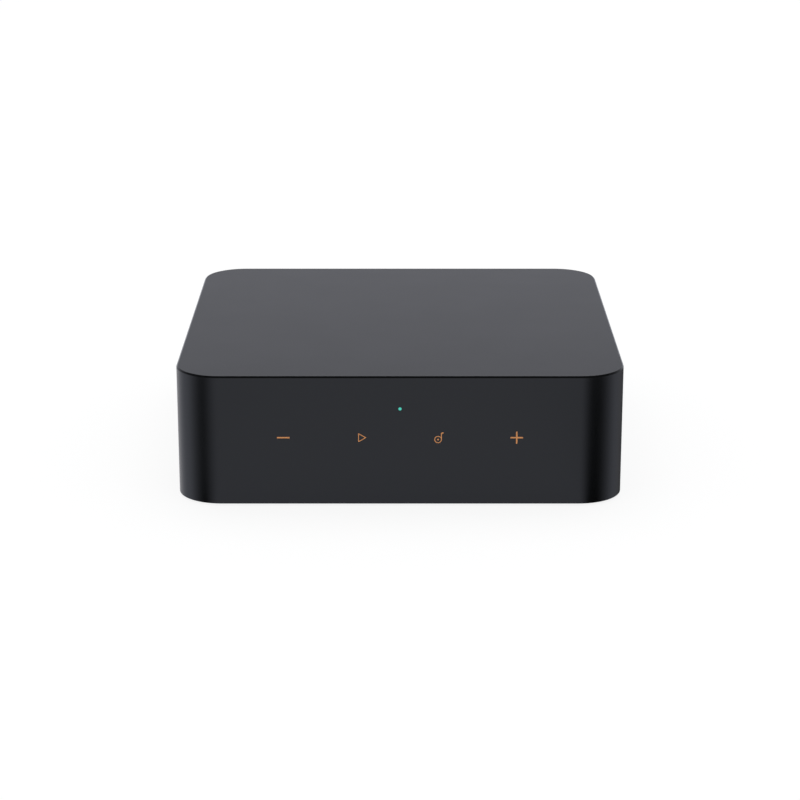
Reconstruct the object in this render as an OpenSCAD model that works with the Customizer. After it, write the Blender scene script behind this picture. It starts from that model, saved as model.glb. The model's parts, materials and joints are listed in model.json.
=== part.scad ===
// Network music streamer: a low square housing with touch controls on its front and a row of jacks
// on its back. Millimetres, +Z up, front towards -Y, origin on the table under the middle of the foot.

/* [Housing] */
// Width of the housing, side to side
body_w = 140; // [137:0.5:160]
// Depth of the housing, front to back
body_d = 140; // [132:0.5:160]
// Height of the housing shell, without the foot
shell_h = 41.4; // [40:0.1:48]
// Radius of the four upright corners
corner_r = 14.2; // [11:0.1:15.5]
// Thickness of the upright walls
wall_t = 2.2; // [1.9:0.1:2.8]
// Thickness of the top wall
top_t = 2.4; // [1.8:0.1:3]
// Chamfer round the top edge
edge_chamfer = 0.5; // [0.2:0.05:0.8]

/* [Base and foot] */
// Thickness of the base plate
base_t = 3; // [2.6:0.1:3.6]
// Gap round the base plate
base_gap = 0.2; // [0.1:0.05:0.4]
// How far the rubber foot stands below the housing
foot_reveal = 0.6; // [0.5:0.1:1.5]
// Depth of the groove that holds the foot
foot_groove = 1.4; // [1:0.1:1.8]
// Width of the foot's band
foot_band = 10; // [9:0.1:13]
// Distance from the housing's side to the foot
foot_inset = 14; // [12:0.1:16]
// Radius of the foot's outer corners
foot_r = 12; // [8:0.1:14]
// Gap between the foot and its groove
foot_gap = 0.1; // [0.05:0.05:0.3]
// Radius of the foot's inner corners
foot_inner_r = 2; // [1:0.1:4]

/* [Fasteners] */
// Radius of a screw's shank
screw_r = 1.3; // [1:0.05:1.5]
// Radius of a screw's head
head_r = 2.6; // [2.3:0.1:3]
// Height of a screw's head
head_h = 1.6; // [1.2:0.1:1.8]
// Length of a base screw's shank
base_screw_len = 13; // [10:0.5:16]
// Length of a board screw's shank
board_screw_len = 4.2; // [3.6:0.1:4.4]
// Gap round a screw's shank in the boss that it holds
screw_fit = 0.05; // [0.02:0.01:0.1]
// Wall of a boss or standoff round its screw
boss_wall = 2.3; // [1.8:0.1:2.8]
// Length of a screw's cross recess
recess_w = 2.4; // [1.8:0.1:3]
// Width of a screw's cross recess
recess_t = 0.6; // [0.4:0.05:0.8]
// Depth of a screw's cross recess
recess_depth = 0.8; // [0.5:0.05:1]

/* [Main board] */
// Height of the standoffs that carry the main board
standoff_h = 3; // [2.5:0.1:3.6]
// Thickness of a circuit board
board_t = 1.6; // [1.2:0.1:2]
// Gap between the main board and a side wall
board_side = 7.8; // [5.5:0.1:9]
// Room between the main board and the front wall
board_front = 28; // [20:0.5:32]

/* [Touch controls] */
// Spacing of the four touch symbols
touch_pitch = 24.1; // [21:0.1:25]
// Height of the touch symbols above the housing's lower edge
touch_z = 21.7; // [20:0.1:23]
// Height of the status light above the housing's lower edge
status_z = 31; // [29:0.1:32]
// Radius of the status light
status_r = 0.5; // [0.4:0.05:0.9]
// Radius of a touch pad
pad_r = 5; // [4:0.1:6]

/* [Rear panel] */
// How far the rear panel lies inside the housing's back
panel_recess = 0.8; // [0.4:0.1:1.2]
// Thickness of the flange behind the housing's wall
flange_t = 1.2; // [1:0.1:1.6]
// How far the flange laps the housing's wall
panel_lap = 1.2; // [0.8:0.1:2]
// Gap between the rear panel and its window
panel_gap = 0.15; // [0.1:0.05:0.3]
// Gap round a jack in the rear panel
port_gap = 0.25; // [0.15:0.05:0.4]
// Rim of the panel above the highest jack
panel_rim = 1.4; // [1:0.1:2.2]
// Room along the panel on each side of a jack that takes a small plug
room_margin = 0.5; // [0.3:0.1:1]
// Room along the panel beside the first and the last jack
end_margin = 1.5; // [1:0.1:3]

/* [Phono jacks] */
// Radius of a jack's barrel
phono_r = 4.15; // [4:0.05:4.3]
// Length of the barrel in front of its collar
phono_len = 8.6; // [8:0.1:10]
// Radius of the collar
collar_r = 4.75; // [4.5:0.05:5.5]
// Radius of the hole for the plug's pin
phono_bore_r = 1.65; // [1.6:0.05:1.8]
// Spacing of the two jacks of a pair, one above the other
phono_pitch = 12.7; // [11:0.1:14.4]
// Height of the lower jack's axis above the board
phono_axis = 5.8; // [5.4:0.1:7]
// Room along the panel for a phono plug
phono_room = 13; // [11.5:0.1:13.5]

/* [Optical jacks] */
// Width and height of the mouth
mouth = 8.2; // [8:0.1:8.6]
// Thickness of the shutter
shutter_t = 0.8; // [0.6:0.05:1]
// Radius of the shutter's hinge pin
hinge_r = 0.45; // [0.35:0.05:0.5]

/* [Other jacks] */
// Width of the network jack
eth_w = 16; // [15.6:0.1:16.4]
// Height of the network jack
eth_h = 13.4; // [13.2:0.1:14]
// Depth of the network jack
eth_d = 17; // [16:0.1:19]
// Width of the power jack
usb_w = 8.94; // [8.9:0.02:9.1]
// Height of the power jack
usb_h = 3.26; // [3.2:0.02:3.4]
// Radius of the trigger jack's bore
trigger_r = 1.8; // [1.75:0.05:1.9]
// Radius of the reset button
reset_r = 1; // [0.8:0.05:1.2]
// Travel of the reset button
reset_travel = 0.3; // [0.2:0.05:0.5]

/* [Hidden] */
$fn = 64;
cut = 1;          // how far a cutter runs past the face that it cuts
fit = 0.05;       // gap between two pieces that slide into each other
sheet_t = 0.3;    // sheet metal of the shields
jack_gap = 0.2;   // gap between the rear panel and a jack's body
proud = 0.3;      // how far a jack stands out of the rear panel

// Levels, from the table up
z_shell0 = foot_reveal;
z_shell1 = z_shell0 + shell_h;
z_ceiling = z_shell1 - top_t;
z_groove = z_shell0 + foot_groove;
z_base1 = z_shell0 + base_t;
pad_h = 2;        // screw pads on the base plate
head_gap = 0.2;   // gap between a screw's head and the foot
hole_gap = 0.3;   // gap round a screw in the piece that it clamps
pad_wall = 2;     // wall of a screw pad round the screw's head
pad_wall_r = head_r + pad_wall;
z_pad1 = z_base1 + pad_h;
z_bearing = z_groove + head_h + head_gap;
z_board0 = z_base1 + standoff_h;
z_board1 = z_board0 + board_t;

// Inside of the housing
in_w = body_w - 2*wall_t;
in_d = body_d - 2*wall_t;
in_r = corner_r - wall_t;

// Corner bosses, on the middle of the foot's band
boss_bore_r = screw_r + screw_fit;
boss_r = boss_bore_r + boss_wall;
boss_end = 0.5;   // room beyond the screw's tip
boss_depth = base_screw_len - (z_pad1 - z_bearing) + boss_end;
boss_off = 1.5;   // from the middle of the band towards the middle of the foot
boss_in = foot_inset + foot_band/2 + boss_off;
boss_x = body_w/2 - boss_in;
boss_y = body_d/2 - boss_in;

// Rear panel and its window
flange_room = 0.4;   // between the flange and the housing's round corner
window_w = body_w - 2*corner_r - 2*panel_lap - 2*flange_room;
window_r = 3;
y_panel_out = body_d/2 - panel_recess;
y_panel_in = in_d/2 - flange_t;
y_jack = y_panel_in - jack_gap;
z_phono = z_board1 + phono_axis;
z_phono_up = z_phono + phono_pitch;
z_window1 = z_phono_up + collar_r + port_gap + panel_rim;

// Main board
board_gap = 0.3;     // between the board and the rear panel
boss_gap = 0.5;      // round a corner boss that passes through the board
board_edge = 0.4;    // from a standoff to the board's edge
board_w = in_w - 2*board_side;
y_board1 = y_panel_in - board_gap;
y_board0 = -in_d/2 + board_front;
standoff_x = board_w/2 - boss_r - board_edge;
standoff_back = 5;   // from a rear standoff to the rear boss
standoff_ys = [y_board0 + boss_r + board_edge, boss_y - 2*boss_r - standoff_back];

// Touch board, standing behind the front wall between two rails
copper_t = 0.1;
touch_t = 1.2;
rail_gap = 0.15;
rail_t = 1.6;
touch_edge = 5;
touch_w = 3*touch_pitch + 2*pad_r + 2*touch_edge;
y_touch0 = -in_d/2 + copper_t;
y_touch1 = y_touch0 + touch_t;
post_h = 8;
rail_foot = 0.5;
status_edge = 3;
z_touch0 = z_base1 + post_h;
z_status = z_shell0 + status_z;
z_touch1 = z_status + status_edge;
post_w = 6;
post_t = 2.6;
led_w = 1;
led_t = 0.6;
led_gap = 0.1;
pipe_flange_t = 0.5;
pipe_flange_w = 0.75;
pipe_flange_r = status_r + pipe_flange_w;
led_pocket = led_t + led_gap + pipe_flange_t - copper_t;

// Phono jacks: a collar through the panel, a tail in the block
collar_proud = 0.4;
tail_len = 4.5;
block_side = 0.2;
block_w = 2*collar_r + 2*block_side;
block_d = 9.5;
block_margin = 0.4;
barrel_t = 0.65;
insulator_r = phono_r - barrel_t - fit;
insulator_sunk = 0.5;
contact_t = 0.4;
contact_r = phono_bore_r + contact_t;
contact_sunk = 1.2;
contact_floor = 1.2;
contact_relief = 0.2;
tip_chamfer = 0.4;
y_collar = y_panel_out + collar_proud;
y_tip = y_collar + phono_len;
y_tail = y_jack - tail_len;
y_insulator = y_tip - insulator_sunk;
y_contact = y_tip - contact_sunk;
y_grip = y_panel_out + proud;

// Optical jacks: a framed mouth, a chamber for the shutter, the optical module behind it
mouth_lap = 0.4;
mouth_clip = 1.4;
frame_t = 1.2;
side_t = 0.8;
floor_t = 1.2;
roof_t = 1;
shutter_gap = 0.15;
hinge_gap = 0.1;
hinge_room = shutter_t + shutter_gap + hinge_gap;
hinge_lift = hinge_room - shutter_gap + hinge_gap;
chamber_w = mouth + 2*mouth_lap;
optical_w = chamber_w + 2*side_t;
module_t = 3.2;
module_gap = 0.5;
lens_r = 1.3;
lens_depth = 2;
y_optical = y_panel_out + proud;
y_frame = y_optical - frame_t;
y_hinge = y_frame - hinge_room;
z_mouth0 = z_board1 + floor_t;
z_mouth1 = z_mouth0 + mouth;
z_hinge = z_mouth1 + hinge_lift;
z_roof = z_hinge + hinge_room;
shutter_len = z_hinge - z_mouth0 - shutter_gap;
y_chamber = y_hinge - shutter_len - module_gap;
y_optical_back = y_chamber - module_t;
knuckle_t = 0.25;
knuckle_r = hinge_r + knuckle_t;
notch = 1;           // room in the shutter round its spring
coil_wire_r = 0.13;
coil_gap = 0.12;
coil_r = hinge_r + coil_gap + coil_wire_r;
coil_len = 2;
coil_side = 0.8;
coil_x1 = chamber_w/2 - coil_side;
coil_x0 = coil_x1 - coil_len;
coil_leg = 2.6;
coil_leg_r = 0.1;
coil_leg_in = 0.3;   // from an end of the coil to its leg

// Network jack: cavity outline and contacts, measured from the jack's own floor
y_eth = y_panel_out + proud;
eth_cavity_w = 11.9;
eth_step_w = 6.4;
eth_latch_w = 4.2;
eth_latch_z = 1.6;
eth_step_z = 2.9;
eth_cavity_z = 4.4;
eth_ceiling_z = 11.2;
eth_cavity_d = 12.6;
eth_lip = 0.4;
eth_pitch = 1.02;
eth_contact_w = 0.4;
eth_contact_t = 0.35;
eth_root = 1;
eth_root_in = 1.6;
eth_end_in = 2.6;
eth_dip = 2.4;

// Power jack
usb_len = 7.3;
usb_plug = 2;
tongue_w = 6.7;
tongue_t = 0.7;
tongue_sunk = 1;
z_usb = z_board1 + usb_h/2;

// Trigger jack
bushing_t = 1.2;
bushing_tail_t = 0.6;
bushing_r = trigger_r + bushing_t;
bushing_tail_r = trigger_r + bushing_tail_t;
bushing_tail = 2;
trigger_side = 0.5;
trigger_w = 2*bushing_r + 2*trigger_side;
trigger_d = 11;
trigger_floor = 1.5;
trigger_margin = 0.2;
z_trigger = z_board1 + bushing_r + trigger_margin;

// Reset switch
reset_wall = 1.2;
reset_w = 2*reset_r + 2*reset_wall;
reset_d = 4;
reset_tail = 1.3;
reset_sunk = 0.6;
reset_stop = 0.2;
z_reset = z_board1 + reset_r + reset_wall;

// Jacks along the panel, from +X to -X: each takes its own width, and the width that is left over is
// shared out in proportion to the room that each one's plug wants
phono_w = 2*collar_r;
widths = [phono_w, phono_w, phono_w, optical_w, optical_w, trigger_w, reset_w, eth_w, usb_w];
taken = [for (w = widths) w + 2*port_gap];
phono_spare = phono_room - taken[0];
small_spare = 2*room_margin;
spare = [for (i = [0:len(widths) - 1]) i < 3 ? phono_spare : small_spare];
function total(v, n) = n <= 0 ? 0 : v[n - 1] + total(v, n - 1);
share = (window_w - total(taken, len(taken)))/(total(spare, len(spare)) + 2*end_margin);
rooms = [for (i = [0:len(widths) - 1]) taken[i] + share*spare[i]];
function room_x(i) = window_w/2 - share*end_margin - total(rooms, i) - rooms[i]/2;
x_line_in = room_x(0);
x_line_out = room_x(1);
x_coax = room_x(2);
x_optical_out = room_x(3);
x_optical_in = room_x(4);
x_trigger = room_x(5);
x_reset = room_x(6);
x_eth = room_x(7);
x_usb = room_x(8);

// Radio module, in the middle of the main board
radio_y = 4;
radio_w = 34;
radio_d = 24;
radio_t = 1;
can_w = 26;
can_d = 20;
can_h = 2.4;
thermal_t = 1;
pad_in = 2;       // from the can's edge to the thermal pad
sink_w = 28;
sink_d = 22;
sink_base = 2;
fin_h = 7;
fin_t = 1.2;
fins = 6;
z_radio1 = z_board1 + radio_t;
z_can1 = z_radio1 + can_h;
z_sink0 = z_can1 + thermal_t;

// Parts on the main board, placed from its edges and from the jacks that they serve
chip_big = 9;
chip_mid = 7;
chip_small = 5;
chip_h = 1.2;
chip_row = 16;        // from a phono block to its chips
control_in = 22;      // the controller, from the board's front edge
control_side = 26;    // the controller, from the board's side
crystal_w = 7;
crystal_d = 5;
crystal_h = 1.6;
crystal_in = 9;       // the crystals, from the board's front edge
crystal_pitch = 10;
capacitor_r = 3.15;
capacitor_h = 7.7;
capacitor_pitch = 9;
capacitor_row = 6;    // from a phono block to the first row
inductor_w = 8;
inductor_r = 1.5;
inductor_h = 4;
power_row = 26;       // the power parts, from the panel
network_row = 26;     // the network chip, from the panel
y_block_back = y_jack - block_d;
control_x = board_w/2 - control_side;

// Antennas on the side walls and their leads
antenna_t = 0.6;
antenna_l = 36;
antenna_h = 12;
antenna_lift = 12;
z_antenna = z_board1 + antenna_lift;
lead_r = 0.65;
bead_t = 0.02;
bead_r = lead_r + bead_t;
lead_rise = 3;
lead_slant = 2;
plug_r = 1.3;
plug_h = 1.6;
plug_edge = 0.3;
plug_x = radio_w/2 - plug_r - plug_edge;
lead_drop = 4;

// Ribbon from the touch board to the main board
ribbon_w = 10;
ribbon_t = 0.2;
socket_w = 13;
socket_d = 2.2;
socket_h = 3;
socket_edge = 1;
main_socket_edge = 0.5;
z_touch_socket = z_touch0 + socket_edge + socket_h/2;
z_main_socket = z_board1 + socket_d/2;
y_main_socket = y_board0 + main_socket_edge;
ribbon_steps = 24;

// Shapes that repeat

// A rectangle with four round corners
module rounded_square(w, d, r) {
    square([w - 2*r, d], center = true);
    square([w, d - 2*r], center = true);
    for (x = [-1, 1], y = [-1, 1])
        translate([x*(w/2 - r), y*(d/2 - r)]) circle(r);
}

// An upright outline with two round upper corners
module arch(w, z0, z1, r) {
    translate([-w/2, z0]) square([w, z1 - r - z0]);
    translate([-w/2 + r, z0]) square([w - 2*r, z1 - z0]);
    for (s = [-1, 1])
        translate([s*(w/2 - r), z1 - r]) circle(r);
}

// A slot with two half-round ends
module stadium(w, h) {
    square([w - h, h], center = true);
    for (s = [-1, 1])
        translate([s*(w - h)/2, 0]) circle(h/2);
}

// A block with round upright corners and a chamfer round its top edge
module chamfered_block(w, d, h, r, c) {
    linear_extrude(h - c) rounded_square(w, d, r);
    translate([0, 0, h - c]) {
        for (x = [-1, 1], y = [-1, 1])
            translate([x*(w/2 - r), y*(d/2 - r), 0]) cylinder(h = c, r1 = r, r2 = r - c);
        along_y(-d/2 + r, d/2 - r) polygon([[-w/2, 0], [w/2, 0], [w/2 - c, c], [c - w/2, c]]);
        along_x(-w/2 + r, w/2 - r) polygon([[-d/2, 0], [d/2, 0], [d/2 - c, c], [c - d/2, c]]);
    }
}

// An (x, z) outline drawn out from y0 to y1
module along_y(y0, y1) {
    translate([0, y1, 0]) rotate([90, 0, 0]) linear_extrude(y1 - y0) children();
}

// A (y, z) outline drawn out from x0 to x1
module along_x(x0, x1) {
    translate([x0, 0, 0]) rotate([90, 0, 90]) linear_extrude(x1 - x0) children();
}

// A round bar along Y, at the current x and z
module rod_y(r, y0, y1) {
    translate([0, y1, 0]) rotate([90, 0, 0]) cylinder(r = r, h = y1 - y0);
}

// A round bar along X, at the current y and z
module rod_x(r, x0, x1) {
    translate([x0, 0, 0]) rotate([0, 90, 0]) cylinder(r = r, h = x1 - x0);
}

// A box from one corner to the opposite one
module box(a, b) {
    translate(a) cube(b - a);
}

// A straight wire between two points
module wire(a, b, r) {
    d = b - a;
    length = norm(d);
    turn = atan2(d[1], d[0]);
    tilt = acos(d[2]/length);
    translate(a) rotate([0, tilt, turn]) cylinder(r = r, h = length);
}

// The four corner screws' places
module at_bosses() {
    for (x = [-1, 1], y = [-1, 1])
        translate([x*boss_x, y*boss_y, 0]) children();
}

// The four board screws' places
module at_standoffs() {
    for (x = [-1, 1], y = standoff_ys)
        translate([x*standoff_x, y, 0]) children();
}

// The four touch symbols' places on the front
module at_touch_symbols() {
    for (i = [-1.5, -0.5, 0.5, 1.5])
        translate([i*touch_pitch, 0, z_shell0 + touch_z]) children();
}

// The five phono jacks' places on the back
module at_line_in_left() { translate([x_line_in, 0, z_phono_up]) children(); }
module at_line_in_right() { translate([x_line_in, 0, z_phono]) children(); }
module at_line_out_left() { translate([x_line_out, 0, z_phono_up]) children(); }
module at_line_out_right() { translate([x_line_out, 0, z_phono]) children(); }
module at_coax() { translate([x_coax, 0, z_phono]) children(); }
module at_phono_jacks() {
    at_line_in_left() children();
    at_line_in_right() children();
    at_line_out_left() children();
    at_line_out_right() children();
    at_coax() children();
}

// Housing

// A rail on the front wall that holds one end of the touch board
module touch_rail(side) {
    inner = touch_w/2 - rail_t;
    outer = touch_w/2 + rail_gap + rail_t;
    y_slot = y_touch1 + rail_gap;
    mirror([side < 0 ? 1 : 0, 0, 0]) difference() {
        box([inner, -in_d/2 - wall_t/2, z_base1 + rail_foot], [outer, y_slot + rail_t, z_ceiling + top_t/2]);
        box([inner - cut, -in_d/2, z_base1 - cut], [touch_w/2 + rail_gap, y_slot, z_touch1 + rail_gap]);
    }
}

module housing_shell() color("#26282b") difference() {
    union() {
        difference() {
            translate([0, 0, z_shell0]) chamfered_block(body_w, body_d, shell_h, corner_r, edge_chamfer);
            translate([0, 0, z_shell0 - cut])
                linear_extrude(shell_h - top_t + cut) rounded_square(in_w, in_d, in_r);
        }
        at_bosses() translate([0, 0, z_pad1]) cylinder(r = boss_r, h = z_ceiling + top_t/2 - z_pad1);
        touch_rail(-1);
        touch_rail(1);
    }
    along_y(in_d/2 - cut/2, body_d/2 + cut) arch(window_w, z_shell0 - cut, z_window1, window_r);
    at_bosses() translate([0, 0, z_pad1 - cut]) cylinder(r = boss_bore_r, h = boss_depth + cut);
    translate([0, 0, z_status]) {
        rod_y(status_r + fit, -body_d/2 - cut, -in_d/2);
        rod_y(pipe_flange_r + fit, -in_d/2 - led_pocket, -in_d/2 + cut);
    }
}

// The foot's outline, a square ring, grown by a gap on both sides
module foot_ring(gap) {
    w = body_w - 2*foot_inset + 2*gap;
    d = body_d - 2*foot_inset + 2*gap;
    band = foot_band + 2*gap;
    difference() {
        rounded_square(w, d, foot_r + gap);
        rounded_square(w - 2*band, d - 2*band, foot_inner_r);
    }
}

module base_plate() color("#1d1e20") difference() {
    union() {
        translate([0, 0, z_shell0]) linear_extrude(base_t)
            rounded_square(in_w - 2*base_gap, in_d - 2*base_gap, in_r - base_gap);
        at_bosses() translate([0, 0, z_base1 - cut/2]) cylinder(r = pad_wall_r, h = pad_h + cut/2);
        at_standoffs() translate([0, 0, z_base1 - cut/2]) cylinder(r = boss_r, h = standoff_h + cut/2);
        for (s = [-1, 1])
            translate([s*touch_w/4, 0, 0])
                box([-post_w/2, -in_d/2 + base_gap, z_base1 - cut/2],
                    [post_w/2, -in_d/2 + base_gap + post_t, z_touch0]);
    }
    translate([0, 0, z_shell0 - cut]) linear_extrude(foot_groove + cut) foot_ring(foot_gap);
    at_bosses() {
        translate([0, 0, z_shell0]) cylinder(r = screw_r + hole_gap, h = base_t + pad_h + cut);
        translate([0, 0, z_shell0]) cylinder(r = head_r + hole_gap, h = z_bearing - z_shell0);
    }
    at_standoffs()
        translate([0, 0, z_board1 - board_screw_len - hole_gap])
            cylinder(r = boss_bore_r, h = board_screw_len + cut);
}

module rubber_foot() color("#141415") {
    linear_extrude(z_groove) foot_ring(0);
}

// A screw that points up, with the bearing face of its head at z = 0
module screw(shank_len) {
    cylinder(r = screw_r, h = shank_len);
    difference() {
        translate([0, 0, -head_h]) cylinder(r = head_r, h = head_h);
        translate([0, 0, -head_h]) cross_recess();
    }
}

module cross_recess() {
    for (a = [0, 90])
        rotate(a) cube([recess_w, recess_t, 2*recess_depth], center = true);
}

module base_screws() color("#8d9094") {
    at_bosses() translate([0, 0, z_bearing]) screw(base_screw_len);
}

// Rear panel

// A plate that fills the window, a flange behind the wall and a skirt over the base plate's edge
module rear_panel() color("#1a1b1d") difference() {
    plate_w = window_w - 2*panel_gap;
    union() {
        along_y(y_panel_in, y_panel_out) arch(plate_w, z_base1, z_window1 - panel_gap, window_r - panel_gap);
        along_y(y_panel_in, in_d/2)
            arch(window_w + 2*panel_lap, z_base1, z_window1 + panel_lap, window_r + panel_lap);
        along_y(in_d/2, y_panel_out) translate([-plate_w/2, z_shell0]) square([plate_w, base_t + cut]);
    }
    at_phono_jacks() rod_y(collar_r + port_gap, y_panel_in - cut, y_panel_out + cut);
    for (x = [x_optical_out, x_optical_in])
        translate([x, 0, 0]) panel_cut_out(optical_w, z_board1, z_roof + roof_t);
    translate([x_eth, 0, 0]) panel_cut_out(eth_w, z_board1, z_board1 + eth_h);
    translate([x_usb, 0, z_usb])
        along_y(y_panel_in - cut, y_panel_out + cut) stadium(usb_w + 2*port_gap, usb_h + 2*port_gap);
    translate([x_trigger, 0, z_trigger]) rod_y(bushing_r + port_gap, y_panel_in - cut, y_panel_out + cut);
    translate([x_reset, 0, z_reset]) rod_y(reset_r + port_gap, y_panel_in - cut, y_panel_out + cut);
}

module panel_cut_out(w, z0, z1) {
    box([-w/2 - port_gap, y_panel_in - cut, z0 - port_gap],
        [w/2 + port_gap, y_panel_out + cut, z1 + port_gap]);
}

// Touch controls

module touch_board() color("#1f5a3a") {
    box([-touch_w/2, y_touch0, z_touch0], [touch_w/2, y_touch1, z_touch1]);
}

module touch_pads() color("#b87333") {
    at_touch_symbols() rod_y(pad_r, -in_d/2, y_touch0);
}

module status_led() color("#e8f4ee") {
    translate([0, 0, z_status]) box([-led_w/2, y_touch0 - led_t, -led_w/2], [led_w/2, y_touch0, led_w/2]);
}

module status_light_pipe() color("#3fe0c8") {
    y_step = -in_d/2 - led_pocket;
    translate([0, 0, z_status]) {
        rod_y(status_r, -body_d/2, y_step);
        rod_y(pipe_flange_r, y_step, y_step + pipe_flange_t);
    }
}

// Height of the ribbon at a share t of its way from the touch board to the main board
function ribbon_z(t) = z_touch_socket + (z_main_socket - z_touch_socket)*(1 - cos(180*t))/2;
function ribbon_y(t) = y_touch1 + socket_d + (y_main_socket - y_touch1 - socket_d)*t;

module touch_ribbon() color("#d8d2c0") {
    along_x(-ribbon_w/2, ribbon_w/2) polygon(concat(
        [for (i = [0:ribbon_steps]) [ribbon_y(i/ribbon_steps), ribbon_z(i/ribbon_steps) - ribbon_t/2]],
        [for (i = [ribbon_steps:-1:0]) [ribbon_y(i/ribbon_steps), ribbon_z(i/ribbon_steps) + ribbon_t/2]]
    ));
}

module ribbon_sockets() color("#efe9d8") {
    box([-socket_w/2, y_touch1, z_touch_socket - socket_h/2],
        [socket_w/2, y_touch1 + socket_d, z_touch_socket + socket_h/2]);
    box([-socket_w/2, y_main_socket, z_board1], [socket_w/2, y_main_socket + socket_h, z_board1 + socket_d]);
}

// Main board and what is on it

module main_board() color("#1f5a3a") difference() {
    box([-board_w/2, y_board0, z_board0], [board_w/2, y_board1, z_board1]);
    at_bosses() translate([0, 0, z_board0 - cut]) cylinder(r = boss_r + boss_gap, h = board_t + 2*cut);
    at_standoffs() translate([0, 0, z_board0 - cut]) cylinder(r = screw_r + hole_gap, h = board_t + 2*cut);
}

module board_screws() color("#8d9094") {
    at_standoffs() translate([0, 0, z_board1]) mirror([0, 0, 1]) screw(board_screw_len);
}

module radio_board() color("#174a66") {
    translate([0, radio_y, z_board1]) box([-radio_w/2, -radio_d/2, 0], [radio_w/2, radio_d/2, radio_t]);
}

module radio_can() color("#c3c6c9") {
    translate([0, radio_y, z_radio1]) difference() {
        box([-can_w/2, -can_d/2, 0], [can_w/2, can_d/2, can_h]);
        box([sheet_t - can_w/2, sheet_t - can_d/2, -cut],
            [can_w/2 - sheet_t, can_d/2 - sheet_t, can_h - sheet_t]);
    }
}

module thermal_pad() color("#8fb4d8") {
    translate([0, radio_y, z_can1])
        box([pad_in - can_w/2, pad_in - can_d/2, 0], [can_w/2 - pad_in, can_d/2 - pad_in, thermal_t]);
}

module heat_sink() color("#aeb2b6") {
    step = (sink_w - fin_t)/(fins - 1);
    translate([0, radio_y, z_sink0]) {
        box([-sink_w/2, -sink_d/2, 0], [sink_w/2, sink_d/2, sink_base]);
        for (i = [0:fins - 1])
            translate([-sink_w/2 + i*step, 0, 0])
                box([0, -sink_d/2, sink_base/2], [fin_t, sink_d/2, sink_base + fin_h]);
    }
}

// One chip, at its place on the board
module chip(x, y, w, d, h) {
    translate([x, y, z_board1]) box([-w/2, -d/2, 0], [w/2, d/2, h]);
}

module board_chips() color("#17181a") {
    chip(x_line_in, y_block_back - chip_row, chip_small, chip_small, chip_h);
    chip(x_line_out, y_block_back - chip_row - 2*capacitor_pitch, chip_mid, chip_mid, chip_h);
    chip(x_eth, y_panel_in - network_row, chip_mid, chip_mid, chip_h);
    chip(x_usb, y_panel_in - power_row, chip_small, chip_small, chip_h);
    chip(control_x, y_board0 + control_in, chip_big, chip_big, chip_h);
}

module capacitors() color("#2b2d33") {
    for (i = [-1:1], j = [0:1])
        translate([(x_coax + x_line_out)/2 + i*capacitor_pitch,
                   y_block_back - capacitor_row - j*capacitor_pitch, z_board1])
            cylinder(r = capacitor_r, h = capacitor_h);
}

module clock_crystals() color("#c9ccd0") {
    for (i = [-0.5, 0.5])
        chip(control_x + i*crystal_pitch, y_board0 + crystal_in, crystal_w, crystal_d, crystal_h);
}

module power_inductor() color("#3c3d40") {
    translate([x_usb, y_panel_in - power_row - inductor_w - chip_small/2, z_board1])
        linear_extrude(inductor_h) rounded_square(inductor_w, inductor_w, inductor_r);
}

// Antennas

module antenna(side) {
    x0 = side*in_w/2;
    x1 = side*(in_w/2 - antenna_t);
    box([min(x0, x1), radio_y - antenna_l/2, z_antenna],
        [max(x0, x1), radio_y + antenna_l/2, z_antenna + antenna_h]);
}

module antenna_left() color("#c08a3e") antenna(-1);
module antenna_right() color("#c08a3e") antenna(1);

module antenna_lead(side) {
    z_run = z_radio1 + plug_h/2;
    x_wall = in_w/2 - antenna_t;
    route = [
        [x_wall, radio_y, z_antenna + lead_rise],
        [x_wall - lead_drop, radio_y, z_antenna + lead_rise],
        [x_wall - lead_drop - lead_slant, radio_y, z_run],
        [plug_x + plug_r + fit, radio_y, z_run]
    ];
    mirror([side < 0 ? 1 : 0, 0, 0]) {
        for (i = [0:len(route) - 2])
            wire(route[i], route[i + 1], lead_r);
        for (i = [1:len(route) - 2])
            translate(route[i]) sphere(bead_r);
    }
}

module antenna_leads() color("#1b1b1c") {
    antenna_lead(-1);
    antenna_lead(1);
}

module antenna_plugs() color("#d3b566") {
    for (s = [-1, 1])
        translate([s*plug_x, radio_y, z_radio1]) cylinder(r = plug_r, h = plug_h);
}

// Phono jacks

// A moulded block on the board, with a seat for each barrel's tail
module phono_block(x, z_axes) {
    z_top = z_axes[len(z_axes) - 1] + collar_r + block_margin;
    translate([x, 0, 0]) difference() {
        box([-block_w/2, y_jack - block_d, z_board1], [block_w/2, y_jack, z_top]);
        for (z = z_axes)
            translate([0, 0, z]) rod_y(phono_r + fit, y_tail, y_jack + cut);
    }
}

module phono_barrel() {
    difference() {
        union() {
            rod_y(phono_r, y_tail, y_tip - tip_chamfer);
            rod_y(collar_r, y_jack, y_collar);
            translate([0, y_tip - tip_chamfer, 0]) rotate([-90, 0, 0])
                cylinder(r1 = phono_r, r2 = phono_r - tip_chamfer, h = tip_chamfer);
        }
        rod_y(phono_r - barrel_t, y_tail - cut, y_tip + cut);
    }
}

module phono_insulator() {
    difference() {
        rod_y(insulator_r, y_tail, y_insulator);
        rod_y(contact_r + fit, y_tail - cut, y_insulator + cut);
    }
}

// The centre contact grips the plug's pin in front of the panel and is relieved behind it
module phono_contact() {
    difference() {
        rod_y(contact_r, y_tail, y_contact);
        rod_y(phono_bore_r + contact_relief, y_tail + contact_floor, y_grip);
        rod_y(phono_bore_r, y_grip - cut, y_contact + cut);
    }
}

module line_in_block() color("#1b1c1e") phono_block(x_line_in, [z_phono, z_phono_up]);
module line_out_block() color("#1b1c1e") phono_block(x_line_out, [z_phono, z_phono_up]);
module coax_block() color("#1b1c1e") phono_block(x_coax, [z_phono]);

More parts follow.
